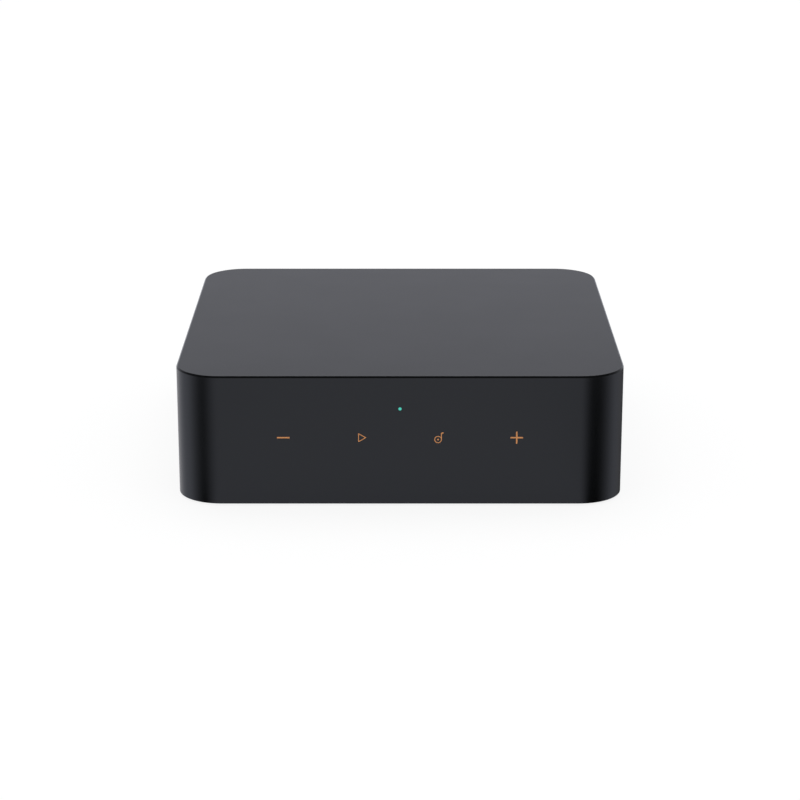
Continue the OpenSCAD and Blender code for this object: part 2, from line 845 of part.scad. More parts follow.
module line_in_left_barrel() color("#d9b65c") at_line_in_left() phono_barrel();
module line_in_right_barrel() color("#d9b65c") at_line_in_right() phono_barrel();
module line_out_left_barrel() color("#d9b65c") at_line_out_left() phono_barrel();
module line_out_right_barrel() color("#d9b65c") at_line_out_right() phono_barrel();
module coax_barrel() color("#d9b65c") at_coax() phono_barrel();

module line_in_left_insulator() color("#f0f0ec") at_line_in_left() phono_insulator();
module line_in_right_insulator() color("#b3201f") at_line_in_right() phono_insulator();
module line_out_left_insulator() color("#f0f0ec") at_line_out_left() phono_insulator();
module line_out_right_insulator() color("#b3201f") at_line_out_right() phono_insulator();
module coax_insulator() color("#e07b1f") at_coax() phono_insulator();

module line_in_left_contact() color("#d9b65c") at_line_in_left() phono_contact();
module line_in_right_contact() color("#d9b65c") at_line_in_right() phono_contact();
module line_out_left_contact() color("#d9b65c") at_line_out_left() phono_contact();
module line_out_right_contact() color("#d9b65c") at_line_out_right() phono_contact();
module coax_contact() color("#d9b65c") at_coax() phono_contact();

// Optical jacks

// The mouth's outline: a square with its two upper corners clipped
module mouth_outline() {
    polygon([
        [-mouth/2, z_mouth0], [mouth/2, z_mouth0],
        [mouth/2, z_mouth1 - mouth_clip], [mouth/2 - mouth_clip, z_mouth1],
        [mouth_clip - mouth/2, z_mouth1], [-mouth/2, z_mouth1 - mouth_clip]
    ]);
}

module optical_body() {
    difference() {
        box([-optical_w/2, y_optical_back, z_board1], [optical_w/2, y_optical, z_roof + roof_t]);
        box([-chamber_w/2, y_optical_back - cut, z_mouth0], [chamber_w/2, y_frame, z_roof]);
        along_y(y_frame - cut, y_optical + cut) mouth_outline();
        translate([0, y_hinge, z_hinge]) rod_x(hinge_r + fit, -optical_w/2 - cut, optical_w/2 + cut);
    }
}

module optical_module() {
    difference() {
        box([fit - chamber_w/2, y_optical_back, z_mouth0], [chamber_w/2 - fit, y_chamber, z_roof - fit]);
        translate([0, 0, (z_mouth0 + z_mouth1)/2]) rod_y(lens_r, y_chamber - lens_depth, y_chamber + cut);
    }
}

// The shutter hangs from its pin and laps the mouth's frame from inside; a notch leaves room for its spring
module optical_shutter() {
    half = chamber_w/2 - shutter_gap;
    y_face = y_frame - shutter_gap;
    difference() {
        union() {
            box([-half, y_face - shutter_t, z_hinge - shutter_len], [half, y_face, z_hinge]);
            translate([0, y_hinge, z_hinge]) rod_x(knuckle_r, -half, coil_x0 - shutter_gap);
        }
        box([coil_x0 - shutter_gap, y_hinge - notch, z_hinge - hinge_lift],
            [coil_x1 + shutter_gap, y_frame, z_hinge + notch]);
    }
    translate([0, y_hinge, z_hinge]) rod_x(hinge_r, fit - optical_w/2, optical_w/2 - fit);
}

// The shutter's return spring: its coil round the pin, one leg under the roof and one on the shutter's back
module optical_spring() {
    x_roof = coil_x0 + coil_leg_in;
    x_back = coil_x1 - coil_leg_in;
    y_back = y_frame - shutter_gap - shutter_t - coil_leg_r - fit;
    translate([0, y_hinge, z_hinge]) difference() {
        rod_x(coil_r + coil_wire_r, coil_x0, coil_x1);
        rod_x(coil_r - coil_wire_r, coil_x0 - cut, coil_x1 + cut);
    }
    wire([x_roof, y_hinge, z_hinge + coil_r], [x_roof, y_hinge - coil_leg, z_hinge + coil_r], coil_leg_r);
    wire([x_back, y_hinge - coil_r, z_hinge], [x_back, y_back, z_hinge - coil_leg], coil_leg_r);
}

module optical_out_body() color("#141517") translate([x_optical_out, 0, 0]) optical_body();
module optical_out_module() color("#2a2c30") translate([x_optical_out, 0, 0]) optical_module();
module optical_out_shutter() color("#202225") translate([x_optical_out, 0, 0]) optical_shutter();
module optical_out_spring() color("#c9ccd0") translate([x_optical_out, 0, 0]) optical_spring();
module optical_in_body() color("#141517") translate([x_optical_in, 0, 0]) optical_body();
module optical_in_module() color("#2a2c30") translate([x_optical_in, 0, 0]) optical_module();
module optical_in_shutter() color("#202225") translate([x_optical_in, 0, 0]) optical_shutter();
module optical_in_spring() color("#c9ccd0") translate([x_optical_in, 0, 0]) optical_spring();

// Network jack

module ethernet_shield() color("#c3c6c9") translate([x_eth, 0, z_board1]) difference() {
    box([-eth_w/2, y_eth - eth_d, 0], [eth_w/2, y_eth, eth_h]);
    box([sheet_t - eth_w/2, y_eth - eth_d + sheet_t, sheet_t],
        [eth_w/2 - sheet_t, y_eth + cut, eth_h - sheet_t]);
}

// The cavity's outline: the plug's body, and two steps below it for the latch
module ethernet_outline() {
    translate([-eth_cavity_w/2, eth_cavity_z]) square([eth_cavity_w, eth_ceiling_z - eth_cavity_z]);
    translate([-eth_step_w/2, eth_step_z]) square([eth_step_w, eth_cavity_z - eth_step_z + cut]);
    translate([-eth_latch_w/2, eth_latch_z]) square([eth_latch_w, eth_step_z - eth_latch_z + cut]);
}

module ethernet_insert() color("#151618") translate([x_eth, 0, z_board1]) difference() {
    inset = sheet_t + fit;
    box([inset - eth_w/2, y_eth - eth_d + inset, inset], [eth_w/2 - inset, y_eth - eth_lip, eth_h - inset]);
    along_y(y_eth - eth_lip - eth_cavity_d, y_eth + cut) ethernet_outline();
}

module ethernet_contacts() color("#d9b65c") translate([x_eth, 0, z_board1]) {
    root_y = y_eth - eth_lip - eth_root_in;
    end_y = y_eth - eth_lip - eth_cavity_d + eth_end_in;
    for (i = [0:7])
        translate([(i - 3.5)*eth_pitch, 0, 0]) along_x(-eth_contact_w/2, eth_contact_w/2)
            polygon([
                [root_y, eth_ceiling_z], [root_y - eth_root, eth_ceiling_z],
                [end_y, eth_ceiling_z - eth_dip + eth_contact_t], [end_y, eth_ceiling_z - eth_dip]
            ]);
}

// Power jack

module usb_shell() color("#c3c6c9") translate([x_usb, 0, z_usb]) difference() {
    along_y(y_panel_out - usb_len, y_panel_out) stadium(usb_w, usb_h);
    along_y(y_panel_out - usb_len - cut, y_panel_out + cut) stadium(usb_w - 2*sheet_t, usb_h - 2*sheet_t);
}

module usb_tongue() color("#17181a") translate([x_usb, 0, z_usb]) {
    y_back = y_panel_out - usb_len;
    inset = 2*(sheet_t + fit);
    along_y(y_back, y_back + usb_plug) stadium(usb_w - inset, usb_h - inset);
    box([-tongue_w/2, y_back + usb_plug/2, -tongue_t/2], [tongue_w/2, y_panel_out - tongue_sunk, tongue_t/2]);
}

// Trigger jack

module trigger_body() color("#17181a") translate([x_trigger, 0, 0]) difference() {
    box([-trigger_w/2, y_jack - trigger_d, z_board1],
        [trigger_w/2, y_jack, z_trigger + bushing_r + trigger_margin]);
    translate([0, 0, z_trigger]) {
        rod_y(trigger_r, y_jack - trigger_d + trigger_floor, y_jack + cut);
        rod_y(bushing_tail_r + fit, y_jack - bushing_tail, y_jack + cut);
    }
}

module trigger_bushing() color("#c3c6c9") translate([x_trigger, 0, z_trigger]) difference() {
    union() {
        rod_y(bushing_r, y_jack, y_panel_out + proud);
        rod_y(bushing_tail_r, y_jack - bushing_tail, y_jack + cut/2);
    }
    rod_y(trigger_r, y_jack - bushing_tail - cut, y_panel_out + proud + cut);
}

// Reset switch

module reset_switch() color("#17181a") translate([x_reset, 0, 0]) difference() {
    box([-reset_w/2, y_jack - reset_d, z_board1], [reset_w/2, y_jack, z_reset + reset_r + reset_wall]);
    translate([0, 0, z_reset])
        rod_y(reset_r + fit, y_jack - reset_tail - reset_travel - reset_stop, y_jack + cut);
}

module reset_button() color("#3a3c40") {
    translate([x_reset, 0, z_reset]) rod_y(reset_r, y_jack - reset_tail, y_panel_out - reset_sunk);
}

housing_shell();
base_plate();
rubber_foot();
rear_panel();
base_screws();
touch_board();
touch_pads();
status_led();
status_light_pipe();
touch_ribbon();
ribbon_sockets();
main_board();
board_screws();
radio_board();
radio_can();
thermal_pad();
heat_sink();
board_chips();
capacitors();
clock_crystals();
power_inductor();
antenna_left();
antenna_right();
antenna_leads();
antenna_plugs();
line_in_block();
line_out_block();
coax_block();
line_in_left_barrel();
line_in_left_insulator();
line_in_left_contact();
line_in_right_barrel();
line_in_right_insulator();
line_in_right_contact();
line_out_left_barrel();
line_out_left_insulator();
line_out_left_contact();
line_out_right_barrel();
line_out_right_insulator();
line_out_right_contact();
coax_barrel();
coax_insulator();
coax_contact();
optical_out_body();
optical_out_module();
optical_out_shutter();
optical_out_spring();
optical_in_body();
optical_in_module();
optical_in_shutter();
optical_in_spring();
ethernet_shield();
ethernet_insert();
ethernet_contacts();
usb_shell();
usb_tongue();
trigger_body();
trigger_bushing();
reset_switch();
reset_button();
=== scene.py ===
# %% [markdown]
# # A network music streamer
# The object is a low, square, near-black box: a moulded shell on a rubber ring, four touch symbols and a
# status light on its front, and a row of jacks on its back. A CAD program has made every piece at its real
# size. Blender gives those pieces their looks, and leaves their sizes and places alone. The first cell
# loads the CAD pieces, and the last prints the size of the box that the finished model fills.

# %% Load the CAD model
import json
import math

import bmesh
import bpy
import numpy as np
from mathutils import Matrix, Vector
from mathutils.geometry import delaunay_2d_cdt


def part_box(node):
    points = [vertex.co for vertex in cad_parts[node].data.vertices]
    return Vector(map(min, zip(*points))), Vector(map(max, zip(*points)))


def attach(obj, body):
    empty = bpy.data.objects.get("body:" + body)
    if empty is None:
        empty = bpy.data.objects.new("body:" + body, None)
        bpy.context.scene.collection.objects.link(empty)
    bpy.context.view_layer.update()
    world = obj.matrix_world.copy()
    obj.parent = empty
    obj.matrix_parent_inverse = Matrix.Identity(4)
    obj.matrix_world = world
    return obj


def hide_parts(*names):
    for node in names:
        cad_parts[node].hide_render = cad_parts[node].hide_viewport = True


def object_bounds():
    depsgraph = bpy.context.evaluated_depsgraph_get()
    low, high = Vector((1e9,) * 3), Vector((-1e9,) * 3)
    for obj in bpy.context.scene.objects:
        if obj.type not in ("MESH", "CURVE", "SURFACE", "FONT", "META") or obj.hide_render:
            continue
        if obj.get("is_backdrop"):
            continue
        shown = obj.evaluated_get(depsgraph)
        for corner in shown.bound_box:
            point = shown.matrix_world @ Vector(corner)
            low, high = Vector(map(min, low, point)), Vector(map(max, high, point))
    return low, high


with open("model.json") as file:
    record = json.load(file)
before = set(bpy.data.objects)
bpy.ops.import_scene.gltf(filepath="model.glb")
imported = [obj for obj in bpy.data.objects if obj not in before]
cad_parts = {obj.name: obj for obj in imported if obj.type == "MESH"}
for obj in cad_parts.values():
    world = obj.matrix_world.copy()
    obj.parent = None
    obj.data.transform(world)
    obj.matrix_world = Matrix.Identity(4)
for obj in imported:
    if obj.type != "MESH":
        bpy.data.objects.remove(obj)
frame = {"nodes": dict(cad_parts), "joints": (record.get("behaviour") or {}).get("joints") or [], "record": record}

MM = 0.001
scene = bpy.context.scene
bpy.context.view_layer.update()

# %% [markdown]
# ## The camera
# The photograph was taken from the front with a long lens, a little above the box. Fitting the outline of a
# square box with round corners to the photograph's edges gives the distance, the height, the pitch and the
# lens, to a fifth of a pixel. The camera needs no shift, because the fit puts the lens's axis at the middle
# of the picture.

# %% Camera
camera = bpy.data.objects.new("camera", bpy.data.cameras.new("camera"))
camera.location = (0.0, -749.9*MM, 242.3*MM)
camera.rotation_euler = (math.radians(90 - 16.995), 0.0, 0.0)
camera.data.sensor_width = 36.0
camera.data.lens = 103.84
camera.data.clip_start = 10*MM
scene.collection.objects.link(camera)
scene.camera = camera
scene.view_settings.view_transform = "Standard"
print("camera", [round(c/MM, 1) for c in camera.location], "mm, lens", round(camera.data.lens, 2), "mm")

# %% [markdown]
# ## Three small helpers for materials
# A colour is easiest to read as the hex value that a paint program shows, which is sRGB. Shaders work with
# linear light, so one function turns the first into the second. The second function adds a node to a tree:
# its settings by name, and each socket either as a value or as a link from another node's output. The third
# starts a material with nothing but its output.

# %% Colour and node helpers
def linear(code):
    """The linear colour of an sRGB hex value such as #26282b."""
    parts = [int(code[i:i + 2], 16)/255 for i in (1, 3, 5)]
    return tuple(c/12.92 if c <= 0.04045 else ((c + 0.055)/1.055)**2.4 for c in parts) + (1.0,)


def add(tree, kind, sockets=None, **settings):
    """Adds one node, sets it up and links it."""
    node = tree.nodes.new(kind)
    for name, value in settings.items():
        setattr(node, name, value)
    for key, value in (sockets or {}).items():
        if isinstance(value, bpy.types.NodeSocket):
            tree.links.new(value, node.inputs[key])
        else:
            node.inputs[key].default_value = value
    return node


def blank(name):
    """A new material, its tree and its output."""
    material = bpy.data.materials.new(name)
    material.use_nodes = True
    material.node_tree.nodes.clear()
    return material, material.node_tree, material.node_tree.nodes.new("ShaderNodeOutputMaterial")


print("near black as linear light:", [round(c, 4) for c in linear("#0d0e11")[:3]])

# %% [markdown]
# ## The floor
# Black plastic shows little colour of its own: what the eye sees on it is the room, so the room comes first.
# The box stands on a pale floor. A floor that is lit until it looks white would throw too much light on the
# box, so camera and mirror rays see it glow up to white instead, and the paint under the glow keeps the
# box's soft shadow. In the box's gloss the floor is a little cooler than straight on, as under daylight.

# %% Floor
FLOOR_PAINT = 0.15     # share of the light that the floor's paint gives back
FLOOR_GLOW = 0.86      # what camera and mirror rays see on top of that
FLOOR_DROP = 0.02*MM   # how far the floor lies under the foot
COOL = (0.925, 0.97, 1.125, 1.0)     # tint of the floor in a mirror

edge = 9000*MM
mesh = bpy.data.meshes.new("floor")
corners = [(-edge, -edge), (edge, -edge), (edge, edge), (-edge, edge)]
mesh.from_pydata([(x, y, -FLOOR_DROP) for x, y in corners], [], [(0, 1, 2, 3)])
floor = bpy.data.objects.new("floor", mesh)
scene.collection.objects.link(floor)
floor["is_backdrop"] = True

material, tree, output = blank("matt_paint_white")
ray = add(tree, "ShaderNodeLightPath").outputs
seen = add(tree, "ShaderNodeMath", {0: ray["Is Camera Ray"], 1: ray["Is Glossy Ray"]}, operation="MAXIMUM")
seen = add(tree, "ShaderNodeMath", {0: seen.outputs[0], 1: ray["Is Transmission Ray"]}, operation="MAXIMUM")
glow = add(tree, "ShaderNodeMath", {0: seen.outputs[0], 1: FLOOR_GLOW}, operation="MULTIPLY")
tint = add(tree, "ShaderNodeMix", {0: ray["Is Camera Ray"], 6: COOL, 7: (1, 1, 1, 1)}, data_type="RGBA")
paint = add(tree, "ShaderNodeBsdfDiffuse", {"Color": (FLOOR_PAINT, FLOOR_PAINT, FLOOR_PAINT, 1)})
light = add(tree, "ShaderNodeEmission", {"Color": tint.outputs[2], "Strength": glow.outputs[0]})
both = add(tree, "ShaderNodeAddShader", {0: paint.outputs[0], 1: light.outputs[0]})
tree.links.new(both.outputs[0], output.inputs["Surface"])
floor.data.materials.append(material)
print("floor: paint", FLOOR_PAINT, "and glow", FLOOR_GLOW)

# %% [markdown]
# ## The sweep and the ceiling
# Behind the box a white sweep rises and fades into a dark ceiling. This is what the top face mirrors, and so
# it is paler at its rear than at its front. The thin bevel round the top mirrors the ceiling, and reads as a
# fine dark line. The world makes all three at once: white to the camera, the fading sweep to mirror rays,
# and an even soft light to everything else.

# %% Sweep and ceiling
SWEEP_TINT = (0.94, 0.96, 1.06)      # a little cooler than white

world = bpy.data.worlds.new("studio_sweep")
scene.world = world
world.use_nodes = True
tree = world.node_tree
tree.nodes.clear()
ray = add(tree, "ShaderNodeLightPath").outputs
height = add(tree, "ShaderNodeSeparateXYZ", {0: add(tree, "ShaderNodeTexCoord").outputs["Generated"]})
fade = add(tree, "ShaderNodeValToRGB", {"Fac": height.outputs["Z"]})
stops = [(0.0, 0.93), (0.10, 0.80), (0.29, 0.58), (0.45, 0.36), (0.60, 0.08), (0.72, 0.0)]
while len(fade.color_ramp.elements) < len(stops):
    fade.color_ramp.elements.new(0.5)
for element, (sine, level) in zip(fade.color_ramp.elements, stops):
    element.position = sine
    element.color = [share*level for share in SWEEP_TINT] + [1]
mirrored = add(tree, "ShaderNodeMath", {0: ray["Is Glossy Ray"], 1: ray["Is Transmission Ray"]},
               operation="MAXIMUM")
even = add(tree, "ShaderNodeBackground", {"Color": (0.98, 0.99, 1.0, 1), "Strength": 0.85})
sweep = add(tree, "ShaderNodeBackground", {"Color": fade.outputs["Color"], "Strength": 1.0})
white = add(tree, "ShaderNodeBackground", {"Color": (1, 1, 1, 1), "Strength": 1.0})
first = add(tree, "ShaderNodeMixShader", {0: mirrored.outputs[0], 1: even.outputs[0], 2: sweep.outputs[0]})
second = add(tree, "ShaderNodeMixShader", {0: ray["Is Camera Ray"], 1: first.outputs[0], 2: white.outputs[0]})
add(tree, "ShaderNodeOutputWorld", {"Surface": second.outputs[0]})
print("the sweep fades over", len(stops), "stops")

# %% [markdown]
# ## The soft box
# One broad lamp above and behind the box gives the shadow its direction. It stays behind, because from the
# front its mirror image would fall on the bevel and wash the dark line out.

# %% Soft box
soft_box = bpy.data.objects.new("soft_box", bpy.data.lights.new("soft_box", "AREA"))
soft_box.data.shape = "RECTANGLE"
soft_box.data.size = 1.2
soft_box.data.size_y = 0.8
soft_box.data.energy = 5.0
soft_box.location = (0.0, 0.55, 1.35)
soft_box.rotation_euler = (soft_box.location - Vector((0, 0, 20*MM))).to_track_quat("Z", "Y").to_euler()
scene.collection.objects.link(soft_box)
print("soft box", soft_box.data.energy, "W")

# %% [markdown]
# ## Two graded flags
# In the photograph a dark band runs down each front corner. A round corner mirrors the floor beside the box,
# so something dark lay there: photographers lay strips of black card, called flags, to draw the edge of a
# dark object. Where a corner faces 20 degrees off straight ahead, it mirrors what lies about 40 degrees off.
# So each flag is a fan of strips on the floor. A strip starts under a line of the corner and runs the way
# that this line mirrors, and so it sets the tone of that line from top to bottom. The tones are an attribute
# on the fan's points, and only mirror rays see the flags.

# %% Flags
CORNER = 14.2          # radius of the housing's upright corners, mm
ASIDE = 5.0            # how far the corners lie off the camera's axis, degrees
FAIR = (1.02, 1.02, 1.08, 1.0)       # tint of the cards beside the box
TURN = (52, 70)        # facings between which the tint goes from cool to fair, degrees
STRIPS = 60            # in each flag
STRIP_LENGTH, STRIP_HEIGHT = 420.0, 0.05      # on the floor and above it, mm
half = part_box("housing_shell")[1].x/MM

material, tree, output = blank("graded_card")
tone = add(tree, "ShaderNodeAttribute", attribute_name="tone")
card = add(tree, "ShaderNodeEmission", {"Color": tone.outputs["Color"], "Strength": 1.0})
tree.links.new(card.outputs[0], output.inputs["Surface"])


def flag(name, side, facings, tones):
    """A fan of card round a front corner: the ways that the corner faces, in degrees, and their tones."""
    steps = np.linspace(facings[0], facings[-1], STRIPS + 1)
    centre = Vector((side*(half - CORNER), CORNER - half, STRIP_HEIGHT))
    points = []
    for facing, bearing in zip(np.radians(steps), np.radians(2*steps + ASIDE)):
        near = centre + CORNER*Vector((side*math.sin(facing), -math.cos(facing), 0))
        points += [near, near + STRIP_LENGTH*Vector((side*math.sin(bearing), -math.cos(bearing), 0))]
    mesh = bpy.data.meshes.new(name)
    strips = [(2*i, 2*i + 1, 2*i + 3, 2*i + 2) for i in range(STRIPS)]
    mesh.from_pydata([p*MM for p in points], [], strips)
    level = np.interp(steps, facings, tones)
    tint = np.stack([np.interp(steps, TURN, pair) for pair in zip(COOL, FAIR)], axis=1)
    values = mesh.attributes.new("tone", "FLOAT_COLOR", "POINT")
    values.data.foreach_set("color", np.repeat(tint*level[:, None], 2, axis=0).ravel().astype(np.float32))
    mesh.materials.append(material)
    piece = bpy.data.objects.new(name, mesh)
    piece.visible_camera = piece.visible_diffuse = piece.visible_shadow = piece.visible_transmission = False
    scene.collection.objects.link(piece)
    piece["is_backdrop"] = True


flag("flag_left", -1, (4.5, 19, 24, 42, 47, 53, 60, 70, 85),
     (1.0, 0.06, 0.07, 1.0, 0.92, 0.75, 0.79, 0.84, 0.82))
flag("flag_right", 1, (1, 12.5, 25, 43.5, 50, 55, 60, 66, 70, 85),
     (1.0, 0.0, 0.0, 0.70, 0.69, 0.52, 0.38, 0.22, 0.15, 0.05))
print("two flags of", STRIPS, "strips each")

# %% [markdown]
# ## Moulded plastics
# Most of the object is moulded plastic. A mould's face is never perfect: spark erosion or blasting leaves a
# fine grain, and the melt's flow leaves faint clouds in tone and gloss. One function makes all the moulded
# finishes from those two noises. The grain's width is a real size in millimetres, and its height drives a
# bump. The clouds are wider, and shift the colour and the roughness a little.

# %% A moulded finish
def moulded(name, dark, pale, roughness, grain, depth, ior=1.47, spread=0.05, cloud=18.0):
    """Moulded plastic: two close tones, a mean roughness, and the grain's width and depth in mm."""
    material, tree, output = blank(name)
    place = add(tree, "ShaderNodeTexCoord").outputs["Object"]
    fine = add(tree, "ShaderNodeTexNoise", {
        "Vector": place, "Scale": 1/(grain*MM), "Detail": 2.0, "Roughness": 0.55})
    broad = add(tree, "ShaderNodeTexNoise", {"Vector": place, "Scale": 1/(cloud*MM), "Detail": 3.0})
    tone = add(tree, "ShaderNodeMix", {
        0: broad.outputs[0], 6: linear(dark), 7: linear(pale)}, data_type="RGBA")
    gloss = add(tree, "ShaderNodeMapRange", {
        0: broad.outputs[0], 1: 0.3, 2: 0.7, 3: roughness - spread, 4: roughness + spread})
    relief = add(tree, "ShaderNodeBump", {"Strength": 1.0, "Distance": depth*MM, "Height": fine.outputs[0]})
    shader = add(tree, "ShaderNodeBsdfPrincipled", {
        "Base Color": tone.outputs[2], "Roughness": gloss.outputs[0],
        "Normal": relief.outputs[0], "IOR": ior})
    tree.links.new(shader.outputs[0], output.inputs["Surface"])
    return material


# Polycarbonate blend from a finely blasted mould: an even satin, near black with a cool cast
housing_plastic = moulded("polycarbonate_blend_blasted_mould_black", "#070809", "#090a0b", 0.30, 0.30, 0.0012,
                          ior=1.41, spread=0.006)
print("housing finish:", housing_plastic.name)

# %% [markdown]
# ## Plastics of the base, the back and the jacks
# These come from coarser moulds than the housing. Their grain is a few tenths of a millimetre, too fine to
# show at this distance, so it is drawn about twice as coarse. Jack bodies are polyester with glass fibre in
# it, which clouds the gloss within millimetres. The insulators' colours tell the jacks apart.

# %% Enclosure and jack plastics
# ABS from an eroded mould: dull, with a grain that shows at an angle
base_plastic = moulded("abs_eroded_mould_black", "#121314", "#181a1c", 0.55, 0.7, 0.012)
panel_plastic = moulded("abs_fine_eroded_mould_black", "#0e0f11", "#141518", 0.46, 0.6, 0.008)
# Polyester with glass fibre: semi-matt and streaky
jack_plastic = moulded("glass_filled_polyester_moulded_black", "#0b0b0c", "#131315", 0.38, 0.4, 0.004,
                       spread=0.08, cloud=4.0)
# Nylon from a polished mould: bright, with a soft gloss
NYLON = {"ior": 1.53, "cloud": 3.0}
white_nylon = moulded("nylon_polished_mould_white", "#dfded8", "#eae9e4", 0.30, 0.3, 0.0015, **NYLON)
red_nylon = moulded("nylon_polished_mould_red", "#9c1716", "#ad1f1c", 0.30, 0.3, 0.0015, **NYLON)
orange_nylon = moulded("nylon_polished_mould_orange", "#d5711a", "#e27d22", 0.30, 0.3, 0.0015, **NYLON)
socket_nylon = moulded("nylon_moulded_ivory", "#d9d2bd", "#e4ddc9", 0.45, 0.3, 0.002, **NYLON)
print("plastics for the base, the panel, the jacks and their insulators")

# %% [markdown]
# ## Rubber, resin and soft finishes
# The same two noises also give silicone rubber, which is matt with a dry bloom, and the epoxy of chips,
# which comes rough from its mould. Only the sizes, the tones and the index of refraction change.

# %% Rubber and resin
# Silicone rubber: the dullest surface of all, paler where it has bloomed
foot_rubber = moulded("silicone_rubber_moulded_black", "#0d0d0e", "#171718", 0.78, 0.8, 0.02,
                      ior=1.41, cloud=7.0)
# Silicone rolled to a soft pad: matt and pale blue
thermal_silicone = moulded("silicone_pad_calendered_blue", "#6f93b8", "#84a6c8", 0.7, 0.4, 0.01,
                           ior=1.41, cloud=3.0)
# Epoxy compound: matt grey-black
chip_resin = moulded("epoxy_compound_moulded_black", "#151517", "#1d1d20", 0.62, 0.2, 0.006, cloud=2.0)
# Epoxy cast in a smooth mould: pale, with a wet gloss
led_resin = moulded("epoxy_cast_pale", "#dfeae4", "#eef4f0", 0.25, 0.2, 0.001, ior=1.5, cloud=0.6)
# Fluoropolymer, extruded over a wire: smooth and waxy
lead_jacket = moulded("fluoropolymer_extruded_black", "#101011", "#18181a", 0.35, 0.3, 0.002,
                      ior=1.38, cloud=4.0)
print("rubber, pad, resins and lead jacket")

# %% [markdown]
# ## Metals
# Metal parts differ by how they were made. A lathe leaves rings, a rolling mill leaves long lines, and
# plating softens them. A noise that is squeezed along one axis gives such lines: it varies fast across them
# and hardly at all along them. It drives the bump and the roughness, and a second noise tarnishes the tone.
# A metal keeps the default index of refraction, because its colour sets its reflection.

# %% Metal finishes
STRETCH = 60           # how many times longer than wide a line is


def lined(name, dark, pale, roughness, line, depth, along):
    """Metal with lines: two close tones, mean roughness, the lines' width and depth in mm, and their run."""
    material, tree, output = blank(name)
    place = add(tree, "ShaderNodeTexCoord").outputs["Object"]
    squeeze = [(1/STRETCH if axis in along else 1)/(line*MM) for axis in "XYZ"]
    lines = add(tree, "ShaderNodeMapping", {"Vector": place, "Scale": squeeze})
    lines = add(tree, "ShaderNodeTexNoise", {
        "Vector": lines.outputs[0], "Scale": 1.0, "Detail": 3.0, "Roughness": 0.6})
    tarnish = add(tree, "ShaderNodeTexNoise", {
        "Vector": place, "Scale": 1/(3*MM), "Detail": 4.0, "Roughness": 0.6})
    tone = add(tree, "ShaderNodeMix", {
        0: tarnish.outputs[0], 6: linear(dark), 7: linear(pale)}, data_type="RGBA")
    gloss = add(tree, "ShaderNodeMapRange", {
        0: lines.outputs[0], 1: 0.3, 2: 0.7, 3: 0.75*roughness, 4: 1.25*roughness})
    relief = add(tree, "ShaderNodeBump", {"Strength": 1.0, "Distance": depth*MM, "Height": lines.outputs[0]})
    shader = add(tree, "ShaderNodeBsdfPrincipled", {
        "Base Color": tone.outputs[2], "Metallic": 1.0, "Roughness": gloss.outputs[0],
        "Normal": relief.outputs[0]})
    tree.links.new(shader.outputs[0], output.inputs["Surface"])
    return material


# Brass turned on a lathe, gold plated: fine rings round the jack's axis, which runs along Y
gold_contact = lined("brass_turned_gold_plated", "#d8ae58", "#e8c473", 0.20, 0.12, 0.0008, "XZ")
# Cold-rolled steel strip, tin plated: a grey mirror, drawn out along the strip
shield_steel = lined("steel_strip_rolled_tin_plated", "#b9bcbf", "#cfd2d4", 0.27, 0.10, 0.0008, "Y")
# Steel wire pulled through a die: bright, with fine lines along it
spring_steel = lined("steel_wire_drawn", "#a9abad", "#c4c6c8", 0.25, 0.05, 0.0005, "X")
# Steel headed cold and zinc plated: a duller, bluish grey
screw_steel = lined("steel_headed_zinc_plated", "#9fa3a8", "#b9bcc0", 0.32, 0.15, 0.001, "XY")
# Aluminium pushed through a die: straight drag marks
sink_aluminium = lined("aluminium_extruded", "#a9adb1", "#bfc3c6", 0.34, 0.12, 0.0015, "Y")
# Copper foil, etched to shape: warm and even
copper = lined("copper_foil_etched", "#b87048", "#cf8458", 0.30, 0.10, 0.0005, "X")
print("metals: gold plate, tin plate, wire, zinc plate, aluminium, copper")

# %% [markdown]
# ## Circuit boards
# A circuit board is glass cloth in epoxy under a tinted lacquer, the solder mask. The copper tracks under
# the lacquer stand a little proud and lighten it. Drawing a real layout would be a piece of work of its own.
# A Voronoi pattern that measures distance along the axes gives square rings round scattered points, and
# these pass for tracks that are routed round their parts.

# %% Board finishes
RINGS = 6.0            # tracks round each scattered point


def masked(name, mask, track, spacing):
    """Solder mask over etched copper, with the tracks' spacing in mm."""
    material, tree, output = blank(name)
    place = add(tree, "ShaderNodeTexCoord").outputs["Object"]
    cells = add(tree, "ShaderNodeTexVoronoi", {
        "Vector": place, "Scale": 1/(RINGS*spacing*MM), "Randomness": 0.85}, distance="CHEBYCHEV")
    rings = add(tree, "ShaderNodeMath", {0: cells.outputs["Distance"], 1: RINGS}, operation="MULTIPLY")
    rings = add(tree, "ShaderNodeMath", {0: rings.outputs[0], 1: 1.0}, operation="PINGPONG")
    routed = add(tree, "ShaderNodeMapRange", {0: rings.outputs[0], 1: 0.45, 2: 0.6, 3: 0.0, 4: 1.0})
    tone = add(tree, "ShaderNodeMix", {
        0: routed.outputs[0], 6: linear(mask), 7: linear(track)}, data_type="RGBA")
    relief = add(tree, "ShaderNodeBump", {"Strength": 1.0, "Distance": 0.03*MM, "Height": routed.outputs[0]})
    shader = add(tree, "ShaderNodeBsdfPrincipled", {
        "Base Color": tone.outputs[2], "Roughness": 0.28, "Normal": relief.outputs[0], "IOR": 1.52})
    tree.links.new(shader.outputs[0], output.inputs["Surface"])
    return material


# Lacquer over copper: glossy, with paler lines where a track lies under it
board_green = masked("glass_epoxy_green_solder_mask", "#12402a", "#1d5a3b", 0.4)
board_blue = masked("glass_epoxy_blue_solder_mask", "#123a56", "#1d5274", 0.3)
print("boards:", board_green.name, board_blue.name)

